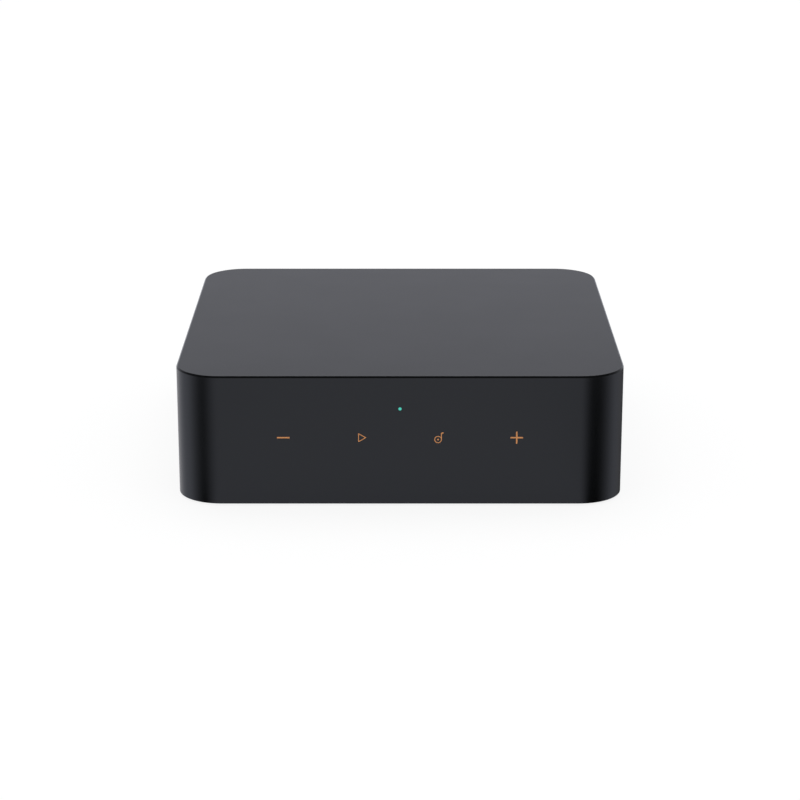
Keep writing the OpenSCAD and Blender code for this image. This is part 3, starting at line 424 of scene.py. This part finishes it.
# %% [markdown]
# ## Films with conductors
# The ribbon cable is a polyester film with flat wires in it, 1 mm apart. The antennas are polyimide film with
# etched copper. Both are straight bands of a known pitch, so a ping-pong of one coordinate draws them.

# %% Film finishes
def banded(name, film, band, pitch, axis, bare=False):
    """A film with straight bands across an axis, at a real pitch in mm. Bare bands are metal."""
    material, tree, output = blank(name)
    apart = add(tree, "ShaderNodeSeparateXYZ", {0: add(tree, "ShaderNodeTexCoord").outputs["Object"]})
    steps = add(tree, "ShaderNodeMath", {0: apart.outputs[axis], 1: 2/(pitch*MM)}, operation="MULTIPLY")
    steps = add(tree, "ShaderNodeMath", {0: steps.outputs[0], 1: 1.0}, operation="PINGPONG")
    band_edge = add(tree, "ShaderNodeMapRange", {0: steps.outputs[0], 1: 0.42, 2: 0.50, 3: 0.0, 4: 1.0})
    tone = add(tree, "ShaderNodeMix", {
        0: band_edge.outputs[0], 6: linear(film), 7: linear(band)}, data_type="RGBA")
    relief = add(tree, "ShaderNodeBump", {
        "Strength": 1.0, "Distance": 0.02*MM, "Height": band_edge.outputs[0]})
    sockets = {"Base Color": tone.outputs[2], "Roughness": 0.35, "Normal": relief.outputs[0]}
    if bare:
        sockets["Metallic"] = band_edge.outputs[0]
    shader = add(tree, "ShaderNodeBsdfPrincipled", sockets)
    tree.links.new(shader.outputs[0], output.inputs["Surface"])
    return material


# Laminated polyester: pale and glossy, darker over the wires
ribbon_film = banded("polyester_ribbon_laminated", "#d9d3c2", "#a8a294", 1.0, "X")
# Polyimide: amber, with bands of bare copper
antenna_film = banded("polyimide_film_etched_copper", "#8a5a22", "#c98a55", 4.0, "Y", bare=True)
print("films:", ribbon_film.name, antenna_film.name)

# %% [markdown]
# ## Capacitor cans
# A capacitor is an aluminium can in a shrunk sleeve that stops at the can's shoulder, so its end is bare.
# Two meshes could show that. One material does too, because only the end faces up: where the surface's
# normal points up, the shader is bare metal.

# %% Can finish
# Aluminium in a shrunk sleeve: a dark, smooth side and a bright end
capacitor_sleeve, tree, output = blank("aluminium_can_shrunk_sleeve")
facing = add(tree, "ShaderNodeSeparateXYZ", {0: add(tree, "ShaderNodeNewGeometry").outputs["Normal"]})
bare = add(tree, "ShaderNodeMath", {0: facing.outputs["Z"], 1: 0.6}, operation="GREATER_THAN")
place = add(tree, "ShaderNodeTexCoord").outputs["Object"]
cloud = add(tree, "ShaderNodeTexNoise", {"Vector": place, "Scale": 1/(2*MM), "Detail": 3.0})
sleeve = add(tree, "ShaderNodeMix", {
    0: cloud.outputs[0], 6: linear("#22242a"), 7: linear("#2d3038")}, data_type="RGBA")
tone = add(tree, "ShaderNodeMix", {
    0: bare.outputs[0], 6: sleeve.outputs[2], 7: linear("#b7babd")}, data_type="RGBA")
shader = add(tree, "ShaderNodeBsdfPrincipled", {
    "Base Color": tone.outputs[2], "Metallic": bare.outputs[0], "Roughness": 0.3})
tree.links.new(shader.outputs[0], output.inputs["Surface"])
print("can finish:", capacitor_sleeve.name)

# %% [markdown]
# ## The status light
# The status light is a clear pin through the front wall, lit from behind. A real pin would need a lamp
# inside and many light paths. Its end glows by itself here instead: brightest on its axis and weaker at its
# rim, from the distance to the pin's axis.

# %% Light finish
RIM, RIM_LEVEL = 0.5*MM, 0.45   # where the light has weakened, and to what share
# Clear polycarbonate with teal light in it
light_pipe, tree, output = blank("polycarbonate_clear_lit_from_behind")
low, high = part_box("status_light_pipe")
place = add(tree, "ShaderNodeTexCoord").outputs["Object"]
centred = add(tree, "ShaderNodeMapping", {"Vector": place, "Location": -(low + high)/2})
flat = add(tree, "ShaderNodeVectorMath", {0: centred.outputs[0], 1: (1, 0, 1)}, operation="MULTIPLY")
off_axis = add(tree, "ShaderNodeVectorMath", {0: flat.outputs[0]}, operation="LENGTH")
level = add(tree, "ShaderNodeMapRange", {0: off_axis.outputs["Value"], 1: 0.0, 2: RIM, 3: 1.0, 4: RIM_LEVEL})
shader = add(tree, "ShaderNodeBsdfPrincipled", {
    "Base Color": linear("#1d5a54"), "Roughness": 0.2, "IOR": 1.58,
    "Emission Color": linear("#45d9c1"), "Emission Strength": level.outputs[0]})
tree.links.new(shader.outputs[0], output.inputs["Surface"])
print("status light at", [round(c/MM, 2) for c in (low + high)/2], "mm")

# %% [markdown]
# ## The housing
# The shell is one moulding with round upright corners. Its CAD mesh is cut into loose triangles, and a
# renderer would show each strip of a corner as a facet. Remodelling the shell would risk its size. Instead a
# copy is welded, and its cut edges at the back window and at the lower rim get a tiny radius. The walls are
# drawn in by the thickness of the printed ink, which leaves room for the ink within the model's box.

# %% Housing shell
INK = 0.02             # thickness of the printed symbols, mm
LIP = 0.2              # radius on the window's and the rim's edges, mm
LEVEL = 0.01           # how near counts as in a plane, mm
NEAR = 0.06            # how near counts as on the outline, mm
WELD = 2e-7            # points this near are one point, m
SMOOTH = math.radians(30)      # an edge that turns less than this is shaded smooth


def welded(node):
    """A copy of a CAD node's mesh as one welded surface with its flat faces whole."""
    bm = bmesh.new()
    bm.from_mesh(frame["nodes"][node].data)
    bmesh.ops.remove_doubles(bm, verts=bm.verts, dist=WELD)
    bmesh.ops.dissolve_limit(bm, angle_limit=math.radians(0.05), verts=bm.verts, edges=bm.edges)
    return bm


def outline(x, y, half):
    """How far a point lies outside the housing's outline, and the outline's normal there; all in mm."""
    dx, dy = abs(x) - (half - CORNER), abs(y) - (half - CORNER)
    sx, sy = math.copysign(1, x), math.copysign(1, y)
    if dx > 0 and dy > 0:
        length = math.hypot(dx, dy)
        return length - CORNER, Vector((sx*dx/length, sy*dy/length, 0))
    if dx > dy:
        return dx - CORNER, Vector((sx, 0, 0))
    return dy - CORNER, Vector((0, sy, 0))


shell_low, shell_high = (corner/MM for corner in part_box("housing_shell"))
bm = welded("housing_shell")
cut_edges = []
for edge in bm.edges:
    a, b = (v.co/MM for v in edge.verts)
    sharp = len(edge.link_faces) == 2 and edge.calc_face_angle() > math.radians(50)
    at_window = min(a.y, b.y) > half - LEVEL
    from_wall = max(abs(outline(p.x, p.y, half)[0]) for p in (a, b))
    at_rim = max(a.z, b.z) < shell_low.z + LEVEL and from_wall < NEAR
    if sharp and (at_window or at_rim):
        cut_edges.append(edge)
bmesh.ops.bevel(bm, geom=cut_edges, offset=LIP*MM, segments=3, profile=0.5, affect="EDGES",
                clamp_overlap=True)
for vert in bm.verts:
    off, normal = outline(vert.co.x/MM, vert.co.y/MM, half)
    if abs(off) < NEAR:
        vert.co -= normal*INK*MM
housing = bpy.data.objects.new("housing", bpy.data.meshes.new("housing"))
bm.to_mesh(housing.data)
bm.free()
print("housing:", len(housing.data.polygons), "faces,", len(cut_edges), "edges rounded")

# %% [markdown]
# ## Normals of the housing
# Smooth shading averages the normals of neighbouring faces, and long thin faces next to short ones pull that
# average askew. On a near-mirror such as this wall, it shows as streaks. The outline is known, so each
# outer face corner is given the exact normal of the surface there: flat walls mirror flat, and the corners
# turn evenly.

# %% Exact normals
UP, OUT, SLANT = 0.999, 0.995, 0.6   # least cosine for a level face, for a wall and for the top's bevel
BEVEL_ZONE = 1.0                     # the bevel lies within this of the top, mm

mesh = housing.data
mesh.shade_smooth()
mesh.set_sharp_from_angle(angle=SMOOTH)
normals = [Vector((0, 0, 0)) for _ in mesh.loops]
exact = 0
for face in mesh.polygons:
    for index in face.loop_indices:
        point = mesh.vertices[mesh.loops[index].vertex_index].co/MM
        off, normal = outline(point.x, point.y, half - INK)
        outward = face.normal.dot(normal)
        if abs(face.normal.z) > UP:
            normals[index] = face.normal.copy()
        elif outward > OUT and abs(off) < NEAR:
            normals[index] = normal
            exact += 1
        elif outward > SLANT and face.normal.z > SLANT and point.z > shell_high.z - BEVEL_ZONE:
            normals[index] = (normal + Vector((0, 0, 1))).normalized()
            exact += 1
mesh.normals_split_custom_set(normals)
mesh.materials.append(housing_plastic)
scene.collection.objects.link(housing)
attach(housing, "housing")
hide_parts("housing_shell")
print("exact normals on", exact, "of", len(mesh.loops), "face corners")

# %% [markdown]
# ## The touch symbols
# The four symbols are printed in copper-coloured ink: a minus, a play triangle, a note and a plus. The wall
# under them is unbroken, and the copper pads behind it sense a finger. A symbol is a few strokes of a pen.
# Each stroke is laid out as quadrilaterals, with round joints between them and square ends.

# %% Strokes
def disc(centre, radius, sides=20):
    """A round dot as a polygon."""
    angles = [2*math.pi*i/sides for i in range(sides)]
    return [(centre[0] + radius*math.cos(a), centre[1] + radius*math.sin(a)) for a in angles]


def arc(centre, radius, start, end, steps):
    """Points along an arc, with its angles in degrees."""
    angles = [math.radians(start + (end - start)*i/steps) for i in range(steps + 1)]
    return [(centre[0] + radius*math.cos(a), centre[1] + radius*math.sin(a)) for a in angles]


def stroke(points, width, closed=False):
    """The polygons of one pen stroke with round joints and square ends."""
    shapes = [disc(p, width/2) for p in (points if closed else points[1:-1])]
    for (ax, ay), (bx, by) in zip(points, points[1:] + points[:1] if closed else points[1:]):
        length = math.hypot(bx - ax, by - ay)
        nx, ny = (ay - by)/length*width/2, (bx - ax)/length*width/2
        shapes.append([(ax - nx, ay - ny), (bx - nx, by - ny), (bx + nx, by + ny), (ax + nx, ay + ny)])
    return shapes


PEN, FINE_PEN = 0.45, 0.24      # stroke widths, mm
head = (-0.27, -0.61)           # the note's head, from the symbol's place
# Strokes, in mm from the symbol's place
stem = [(0.77, -0.61), (0.77, 1.14)] + arc((1.17, 1.14), 0.40, 180, 90, 6)[1:] + [(1.42, 1.54)]
symbols = {
    "minus": stroke([(-1.95, 0), (1.95, 0)], PEN),
    "play": stroke([(-0.78, -1.29), (1.45, 0), (-0.78, 1.29)], FINE_PEN, closed=True),
    "note": (stroke(arc(head, 1.04, 0, 360, 36)[:-1], FINE_PEN, closed=True)
             + stroke(stem[:2], FINE_PEN) + stroke(stem[1:], 1.5*FINE_PEN) + [disc(head, 0.27)]),
    "plus": stroke([(-1.96, 0), (1.96, 0)], PEN) + stroke([(0, -1.96), (0, 1.96)], PEN),
}
print({name: len(shapes) for name, shapes in symbols.items()}, "shapes")

# %% [markdown]
# ## The ink
# The film is copper flake in lacquer. Half of it acts as metal: it mirrors the pale floor, and this is what
# makes the ink look bright. The printing pad's texture leaves the film uneven, and it is drawn at a quarter
# of a millimetre so that it shows close up.

# %% Ink finish
# Copper flake in lacquer, pad printed: warm and bright, with a fine sparkle
ink, tree, output = blank("copper_flake_ink_pad_printed")
place = add(tree, "ShaderNodeTexCoord").outputs["Object"]
speck = add(tree, "ShaderNodeTexNoise", {"Vector": place, "Scale": 1/(0.25*MM), "Detail": 2.0})
tone = add(tree, "ShaderNodeMix", {
    0: speck.outputs[0], 6: linear("#de9456"), 7: linear("#eea768")}, data_type="RGBA")
relief = add(tree, "ShaderNodeBump", {"Strength": 1.0, "Distance": 0.004*MM, "Height": speck.outputs[0]})
shader = add(tree, "ShaderNodeBsdfPrincipled", {
    "Base Color": tone.outputs[2], "Metallic": 0.5, "Roughness": 0.5, "Normal": relief.outputs[0]})
tree.links.new(shader.outputs[0], output.inputs["Surface"])
print("ink:", ink.name)

# %% [markdown]
# ## Printing the symbols
# The polygons of a symbol overlap. A constrained triangulation cuts them all along their common edges, and
# says which input polygon each triangle came from. The triangles that came from none are the holes, such as
# the inside of the note's head, and are dropped. The rest is one flat shape, which gets the ink's thickness
# and goes half as deep again into the wall, so that no gap shows.

# %% Ink film
def film_of(shapes, centre, front, back):
    """The points and faces of an ink film: its front, its back and its edge."""
    points = [Vector(p) for shape in shapes for p in shape]
    ends = np.cumsum([0] + [len(shape) for shape in shapes])
    rings = [list(range(a, b)) for a, b in zip(ends, ends[1:])]
    flat, _, triangles, _, _, origins = delaunay_2d_cdt(points, [], rings, 0, 1e-5)
    triangles = [tuple(t) for t, origin in zip(triangles, origins) if origin]
    count = len(flat)
    verts = [Vector((p.x + centre[0], y, p.y + centre[1]))*MM for y in (front, back) for p in flat]
    sides = {(a, b) for t in triangles for a, b in zip(t, t[1:] + t[:1])}
    faces = triangles + [tuple(i + count for i in reversed(t)) for t in triangles]
    faces += [(b, a, a + count, b + count) for a, b in sides if (b, a) not in sides]
    return verts, faces


pads_low, pads_high = (corner/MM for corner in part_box("touch_pads"))
row_z = (pads_low.z + pads_high.z)/2
row_x = pads_high.x - (pads_high.z - pads_low.z)/2
verts, faces = [], []
for index, shapes in enumerate(symbols.values()):
    film, solid = film_of(shapes, (row_x*(2*index/3 - 1), row_z), -half, -half + 1.5*INK)
    faces += [tuple(i + len(verts) for i in face) for face in solid]
    verts += film
bm = bmesh.new()
mesh = bpy.data.meshes.new("touch_symbols")
mesh.from_pydata(verts, [], faces)
bm.from_mesh(mesh)
bmesh.ops.delete(bm, geom=[v for v in bm.verts if not v.link_faces], context="VERTS")
bmesh.ops.recalc_face_normals(bm, faces=bm.faces)
bm.to_mesh(mesh)
bm.free()
mesh.materials.append(ink)
touch_symbols = bpy.data.objects.new("touch_symbols", mesh)
scene.collection.objects.link(touch_symbols)
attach(touch_symbols, "housing")
print("symbols:", len(mesh.polygons), "faces, at a height of", round(row_z, 2), "mm")

# %% [markdown]
# ## Softened pieces
# No moulded or stamped piece has a knife edge, and it is the fine radius on an edge that catches the light.
# The other visible pieces are welded copies of their CAD nodes with a Bevel modifier of a real radius. A
# Weighted Normal modifier follows it: where a face meets the bevel, the larger one sets the normal, so flat
# faces mirror flat. The result is turned into a plain mesh that replaces its node.

# %% Softening helpers
body_of = {node: body for body, nodes in frame["record"]["behaviour"]["bodies"].items() for node in nodes}


def settled(piece, material, nodes, body=None):
    """Turns a piece with modifiers into a plain mesh for some nodes, on their body or on a given one."""
    mesh = bpy.data.meshes.new_from_object(piece.evaluated_get(bpy.context.evaluated_depsgraph_get()))
    piece.modifiers.clear()
    piece.data = mesh
    if not mesh.materials:
        mesh.materials.append(material)
    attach(piece, body or body_of[nodes[0]])
    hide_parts(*nodes)
    return piece


def softened(node, material, radius):
    """A copy of a CAD node with its edges rounded by a radius in mm."""
    bm = welded(node)
    mesh = bpy.data.meshes.new(node + "_soft")
    bm.to_mesh(mesh)
    bm.free()
    mesh.shade_smooth()
    mesh.set_sharp_from_angle(angle=SMOOTH)
    piece = bpy.data.objects.new(node + "_soft", mesh)
    scene.collection.objects.link(piece)
    edge = piece.modifiers.new("edge", "BEVEL")
    edge.width = radius*MM
    edge.segments = 2
    edge.limit_method = "ANGLE"
    edge.angle_limit = math.radians(35)
    flat = piece.modifiers.new("flat", "WEIGHTED_NORMAL")
    flat.weight = 100
    flat.keep_sharp = True
    return settled(piece, material, [node])


# %% [markdown]
# ## Base, panel and square jacks
# The radius follows how a piece is made: a third of a millimetre on rubber, a quarter on a large moulding, a
# tenth on sheet metal and on small jack parts.

# %% Softened enclosure and jacks
soft = {
    "base_plate": (base_plastic, 0.25), "rubber_foot": (foot_rubber, 0.35),
    "rear_panel": (panel_plastic, 0.12),
    "ethernet_shield": (shield_steel, 0.10), "ethernet_insert": (jack_plastic, 0.12),
    "usb_shell": (shield_steel, 0.08), "usb_tongue": (jack_plastic, 0.08),
    "trigger_body": (jack_plastic, 0.15), "trigger_bushing": (shield_steel, 0.18),
    "reset_switch": (jack_plastic, 0.12), "reset_button": (jack_plastic, 0.15),
    "line_in_block": (jack_plastic, 0.20), "line_out_block": (jack_plastic, 0.20),
    "coax_block": (jack_plastic, 0.20),
}
for side in ("out", "in"):
    soft["optical_%s_body" % side] = (jack_plastic, 0.12)
    soft["optical_%s_module" % side] = (jack_plastic, 0.10)
    soft["optical_%s_shutter" % side] = (jack_plastic, 0.08)
pieces = [softened(node, *look) for node, look in soft.items()]
print(len(pieces), "pieces,", sum(len(piece.data.polygons) for piece in pieces), "faces")

# %% [markdown]
# ## Boards and the parts on them
# Inside the housing, the boards, the shield can, the heat sink and the other parts get the same treatment. A
# board is cut out with a milling cutter and then brushed, so its edge is nearly sharp. A silicone pad bulges.

# %% Softened boards and parts
inner = {
    "radio_can": (shield_steel, 0.12), "heat_sink": (sink_aluminium, 0.12), "board_chips": (chip_resin, 0.10),
    "capacitors": (capacitor_sleeve, 0.40), "clock_crystals": (shield_steel, 0.30),
    "power_inductor": (chip_resin, 0.30), "ribbon_sockets": (socket_nylon, 0.10),
    "main_board": (board_green, 0.08), "touch_board": (board_green, 0.08), "radio_board": (board_blue, 0.08),
    "thermal_pad": (thermal_silicone, 0.25), "status_led": (led_resin, 0.06),
    "antenna_left": (antenna_film, 0.06), "antenna_right": (antenna_film, 0.06),
}
pieces = [softened(node, *look) for node, look in inner.items()]
print(len(pieces), "pieces,", sum(len(piece.data.polygons) for piece in pieces), "faces")

# %% [markdown]
# ## Phono jacks
# A phono jack is turned work: a gold-plated barrel with a collar, a coloured insulator and a centre contact.
# The five jacks are alike, so one Geometry Nodes tree makes a turned ring from named sizes and sets it at
# each jack's place. A rectangle is the ring's section, Fillet Curve rounds its corners, and Curve to Mesh
# leads it round a circle. The same tree makes barrels, collars and insulators.

# %% Turned ring tree
def new_tree(name, **inputs):
    """A Geometry Nodes tree with named inputs, given by their kinds, and one geometry in and out."""
    tree = bpy.data.node_groups.new(name, "GeometryNodeTree")
    tree.interface.new_socket("Geometry", in_out="INPUT", socket_type="NodeSocketGeometry")
    for label, kind in inputs.items():
        tree.interface.new_socket(label, in_out="INPUT", socket_type="NodeSocket" + kind)
    tree.interface.new_socket("Geometry", in_out="OUTPUT", socket_type="NodeSocketGeometry")
    return tree, add(tree, "NodeGroupInput").outputs


def close_tree(tree, sizes, instance):
    """Sets an instance on each incoming point, and ends the tree with plain, painted geometry."""
    spread = add(tree, "GeometryNodeInstanceOnPoints", {
        "Points": sizes["Geometry"], "Instance": instance.outputs[0]})
    plain = add(tree, "GeometryNodeRealizeInstances", {0: spread.outputs[0]})
    painted = add(tree, "GeometryNodeSetMaterial", {
        "Geometry": plain.outputs[0], "Material": sizes["Material"]})
    add(tree, "NodeGroupOutput", {0: painted.outputs[0]})


turned_ring, sizes = new_tree("turned_ring", Inner="Float", Outer="Float", Back="Float", Front="Float",
                              Edge="Float", Sides="Int", Material="Material")
tree = turned_ring
wall = add(tree, "ShaderNodeMath", {0: sizes["Outer"], 1: sizes["Inner"]}, operation="SUBTRACT")
length = add(tree, "ShaderNodeMath", {0: sizes["Front"], 1: sizes["Back"]}, operation="SUBTRACT")
middle = add(tree, "ShaderNodeMath", {
    0: wall.outputs[0], 1: 0.5, 2: sizes["Inner"]}, operation="MULTIPLY_ADD")
centre = add(tree, "ShaderNodeMath", {
    0: length.outputs[0], 1: 0.5, 2: sizes["Back"]}, operation="MULTIPLY_ADD")
section = add(tree, "GeometryNodeCurvePrimitiveQuadrilateral", {
    "Width": wall.outputs[0], "Height": length.outputs[0]})
section = add(tree, "GeometryNodeFilletCurve", {
    "Curve": section.outputs[0], "Count": 4, "Radius": sizes["Edge"], "Limit Radius": True}, mode="POLY")
circle = add(tree, "GeometryNodeCurvePrimitiveCircle", {
    "Resolution": sizes["Sides"], "Radius": middle.outputs[0]})
ring = add(tree, "GeometryNodeCurveToMesh", {"Curve": circle.outputs[0], "Profile Curve": section.outputs[0]})
shift = add(tree, "ShaderNodeCombineXYZ", {"Y": centre.outputs[0]})
ring = add(tree, "GeometryNodeTransform", {
    "Geometry": ring.outputs[0], "Translation": shift.outputs[0], "Rotation": (math.radians(-90), 0, 0)})
close_tree(tree, sizes, ring)
print("turned ring tree:", len(tree.nodes), "nodes")

# %% [markdown]
# ## The jacks' sizes
# Each ring's radii and ends come from the boxes of the CAD nodes, so that the rings lie where the jacks do.

# %% Jack places and sizes
jacks = ["line_in_left", "line_in_right", "line_out_left", "line_out_right", "coax"]
axis_of = {}
for jack in jacks:
    low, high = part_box(jack + "_barrel")
    axis_of[jack] = Vector(((low.x + high.x)/2, 0, (low.z + high.z)/2))
BARREL, BARREL_WALL, REACH = 4.15*MM, 0.65*MM, 8.6*MM      # radius, wall and length in front of the collar
low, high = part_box("coax_barrel")
tail, tip, collar = low.y, high.y, (high.z - low.z)/2
low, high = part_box("coax_insulator")
insulator, insulator_front = (high.z - low.z)/2, high.y
low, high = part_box("coax_contact")
contact = (high.z - low.z)/2
print("barrels", round(2*BARREL/MM, 2), "mm across, from y", round(tail/MM, 2), "to", round(tip/MM, 2), "mm")

# %% [markdown]
# ## The jacks' rings
# An input of a modifier is set by its socket's identifier, which the tree's interface gives. The points of a
# small mesh say where the rings go. Barrel and collar are two rings of one finish, a tenth of a millimetre
# into each other, because on the real jack they are turned from one bar.

# %% Jack rings
def grown(name, tree, points, **values):
    """An object whose points, in metres, carry what a tree makes there."""
    mesh = bpy.data.meshes.new(name)
    mesh.from_pydata(points, [], [])
    piece = bpy.data.objects.new(name, mesh)
    scene.collection.objects.link(piece)
    nodes = piece.modifiers.new("nodes", "NODES")
    nodes.node_group = tree
    for item in tree.interface.items_tree:
        if item.in_out == "INPUT" and item.name in values:
            nodes[item.identifier] = values[item.name]
    return piece


def smoothed(piece):
    """Smooth shading, but for the sharp edges."""
    piece.data.shade_smooth()
    piece.data.set_sharp_from_angle(angle=math.radians(40))


LAP, ROOM = 0.1*MM, 0.05*MM     # collar into barrel, insulator clear of contact
places = list(axis_of.values())
barrel_nodes = [jack + "_barrel" for jack in jacks]
barrels = grown("phono_barrels", turned_ring, places, Inner=BARREL - BARREL_WALL, Outer=BARREL,
                Back=tail, Front=tip, Edge=0.3*MM, Sides=72, Material=gold_contact)
collars = grown("phono_collars", turned_ring, places, Inner=BARREL - LAP, Outer=collar,
                Back=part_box("coax_block")[1].y, Front=tip - REACH, Edge=0.15*MM, Sides=72,
                Material=gold_contact)
smoothed(settled(barrels, gold_contact, barrel_nodes))
smoothed(settled(collars, gold_contact, barrel_nodes))
for colour, material, ends in [("white", white_nylon, ["line_in_left", "line_out_left"]),
                               ("red", red_nylon, ["line_in_right", "line_out_right"]),
                               ("orange", orange_nylon, ["coax"])]:
    piece = grown("phono_insulators_" + colour, turned_ring, [axis_of[jack] for jack in ends],
                  Inner=contact + ROOM, Outer=insulator, Back=tail, Front=insulator_front,
                  Edge=0.25*MM, Sides=64, Material=material)
    smoothed(settled(piece, material, [jack + "_insulator" for jack in ends]))
for jack in jacks:
    softened(jack + "_contact", gold_contact, 0.1)
ring_faces = len(barrels.data.polygons) + len(collars.data.polygons)
print("five phono jacks:", ring_faces, "faces in barrels and collars")

# %% [markdown]
# ## Network contacts
# Eight sprung wires lie side by side in the network jack. They are the same wire eight times, so Mesh Line
# sets the places, and a Quadratic Bezier gives one wire its bend: it comes out of the roof near the mouth and
# dips inwards, where a plug presses it up.

# %% Wire row tree
wire_row, sizes = new_tree("wire_row", Count="Int", Pitch="Float", Root="Vector", Bend="Vector", End="Vector",
                           Wire="Float", Material="Material")
tree = wire_row
pitch = add(tree, "ShaderNodeCombineXYZ", {"X": sizes["Pitch"]})
row = add(tree, "GeometryNodeMeshLine", {"Count": sizes["Count"], "Offset": pitch.outputs[0]}, mode="OFFSET")
bent = add(tree, "GeometryNodeCurveQuadraticBezier", {
    "Resolution": 12, "Start": sizes["Root"], "Middle": sizes["Bend"], "End": sizes["End"]})
section = add(tree, "GeometryNodeCurvePrimitiveCircle", {"Resolution": 12, "Radius": sizes["Wire"]})
wire = add(tree, "GeometryNodeCurveToMesh", {
    "Curve": bent.outputs[0], "Profile Curve": section.outputs[0], "Fill Caps": True})
side_by_side = add(tree, "GeometryNodeInstanceOnPoints", {
    "Points": row.outputs[0], "Instance": wire.outputs[0]})
close_tree(tree, sizes, side_by_side)
print("wire row tree:", len(tree.nodes), "nodes")

# %% [markdown]
# ## Contacts in their jack
# The box of the CAD contacts gives the first and the last wire's place, and the pitch follows from it.

# %% Contacts in their jack
CONTACTS, CONTACT_WIRE = 8, 0.17*MM      # how many, and the wire's radius
INSET, ROOT = 0.2*MM, 0.25*MM            # first wire from the box's side, its root from the outer end
BEND_IN, BEND_DOWN = 3.0*MM, 1.1*MM      # where the wire turns, from the outer end and the top
low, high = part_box("ethernet_contacts")
left = low.x + INSET
contacts = grown("network_contacts", wire_row, [(0, 0, 0)], Count=CONTACTS,
                 Pitch=(high.x - low.x - 2*INSET)/(CONTACTS - 1), Root=(left, high.y - ROOT, high.z),
                 Bend=(left, high.y - BEND_IN, high.z - BEND_DOWN),
                 End=(left, low.y, low.z + CONTACT_WIRE), Wire=CONTACT_WIRE, Material=gold_contact)
smoothed(settled(contacts, gold_contact, ["ethernet_contacts"]))
print("eight contacts:", len(contacts.data.polygons), "faces")

# %% [markdown]
# ## Shutter springs
# Behind each optical mouth a sprung shutter keeps the dust out. Its torsion spring is a few turns of wire on
# the hinge pin, with one leg under the roof and one on the shutter's back. Curve Spiral gives the turns, a
# line gives the roof's leg, and a small circle led along them gives the wire. Five turns and three quarters
# bring the wire from the top of the pin, where this leg starts, to its back, where the other does.

# %% Wound spring tree
wound_spring, sizes = new_tree("wound_spring", Radius="Float", Length="Float", Turns="Float", Wire="Float",
                               Leg="Float", Material="Material")
tree = wound_spring
turns = add(tree, "GeometryNodeCurveSpiral", {
    "Resolution": 20, "Rotations": sizes["Turns"], "Start Radius": sizes["Radius"],
    "End Radius": sizes["Radius"], "Height": sizes["Length"]})
turns = add(tree, "GeometryNodeTransform", {
    "Geometry": turns.outputs[0], "Rotation": (math.pi, -math.pi/2, 0)})
leg_end = add(tree, "ShaderNodeMath", {0: sizes["Leg"], 1: -1.0}, operation="MULTIPLY")
top = add(tree, "ShaderNodeCombineXYZ", {"Z": sizes["Radius"]})
roof = add(tree, "ShaderNodeCombineXYZ", {"Y": leg_end.outputs[0], "Z": sizes["Radius"]})
roof_leg = add(tree, "GeometryNodeCurvePrimitiveLine", {"Start": roof.outputs[0], "End": top.outputs[0]})
route = add(tree, "GeometryNodeJoinGeometry")
for part in (turns, roof_leg):
    tree.links.new(part.outputs[0], route.inputs[0])
section = add(tree, "GeometryNodeCurvePrimitiveCircle", {"Resolution": 10, "Radius": sizes["Wire"]})
wire = add(tree, "GeometryNodeCurveToMesh", {
    "Curve": route.outputs[0], "Profile Curve": section.outputs[0], "Fill Caps": True})
close_tree(tree, sizes, wire)
print("wound spring tree:", len(tree.nodes), "nodes")

# %% [markdown]
# ## Springs on their hinges
# The coil and the roof's leg stay with the housing. The other leg presses on the shutter and swings with it,
# so it is a piece of its own on the shutter's body: a single wire from the tree that made the contacts.

# %% Springs and legs
SPRING_WIRE, COIL, LEG = 0.12*MM, 0.70*MM, 2.55*MM      # radii of the wire and of the coil, length of a leg
COIL_LENGTH = 2*MM - 2*SPRING_WIRE       # along the pin, between the wire's axes
LEG_IN = 0.05*MM                         # how far inwards of the pin's axis the swinging leg ends
hinges = {joint["name"]: joint["pos_m"] for joint in frame["joints"] if joint["type"] == "hinge"}
starts = {}
for side in ("out", "in"):
    _, y, z = hinges["optical_%s_flap_hinge" % side]
    starts[side] = (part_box("optical_%s_spring" % side)[0].x + SPRING_WIRE, y, z)
springs = grown("optical_springs", wound_spring, list(starts.values()), Radius=COIL, Length=COIL_LENGTH,
                Turns=5.75, Wire=SPRING_WIRE, Leg=LEG, Material=spring_steel)
smoothed(settled(springs, spring_steel, ["optical_out_spring", "optical_in_spring"]))
at_coil, at_shutter = Vector((COIL_LENGTH, -COIL, 0)), Vector((COIL_LENGTH, -LEG_IN, -LEG))
for side, start in starts.items():
    leg = grown("optical_%s_spring_leg" % side, wire_row, [start], Count=1, Root=at_coil,
                Bend=(at_coil + at_shutter)/2, End=at_shutter, Wire=SPRING_WIRE, Material=spring_steel)
    smoothed(settled(leg, spring_steel, ["optical_%s_spring" % side], body="optical_%s_flap" % side))
print("two springs:", len(springs.data.polygons), "faces, a leg:", len(leg.data.polygons), "faces")

# %% [markdown]
# ## The pieces that stay as CAD made them
# Screws, touch pads, the ribbon, the leads with their plugs and the light pipe are right as they are. They
# keep their CAD meshes and only get their materials.

# %% Materials for the CAD nodes that stay
stays = {
    "base_screws": screw_steel, "board_screws": screw_steel, "touch_pads": copper,
    "touch_ribbon": ribbon_film, "antenna_leads": lead_jacket, "antenna_plugs": gold_contact,
    "status_light_pipe": light_pipe,
}
for node, material in stays.items():
    mesh = frame["nodes"][node].data
    mesh.materials.clear()
    mesh.materials.append(material)
shown = {node for node, piece in frame["nodes"].items() if not piece.hide_render}
print(len(shown), "CAD nodes shown, without a finish:", sorted(shown - set(stays)))

# %% [markdown]
# ## Size
# The dressed model is meant to fill the CAD model's box and no more. The last cell prints the size of the dressed
# model's box.

# %% The dressed model's box
low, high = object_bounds()
print("visual box, mm:", [round(s/MM, 2) for s in high - low])
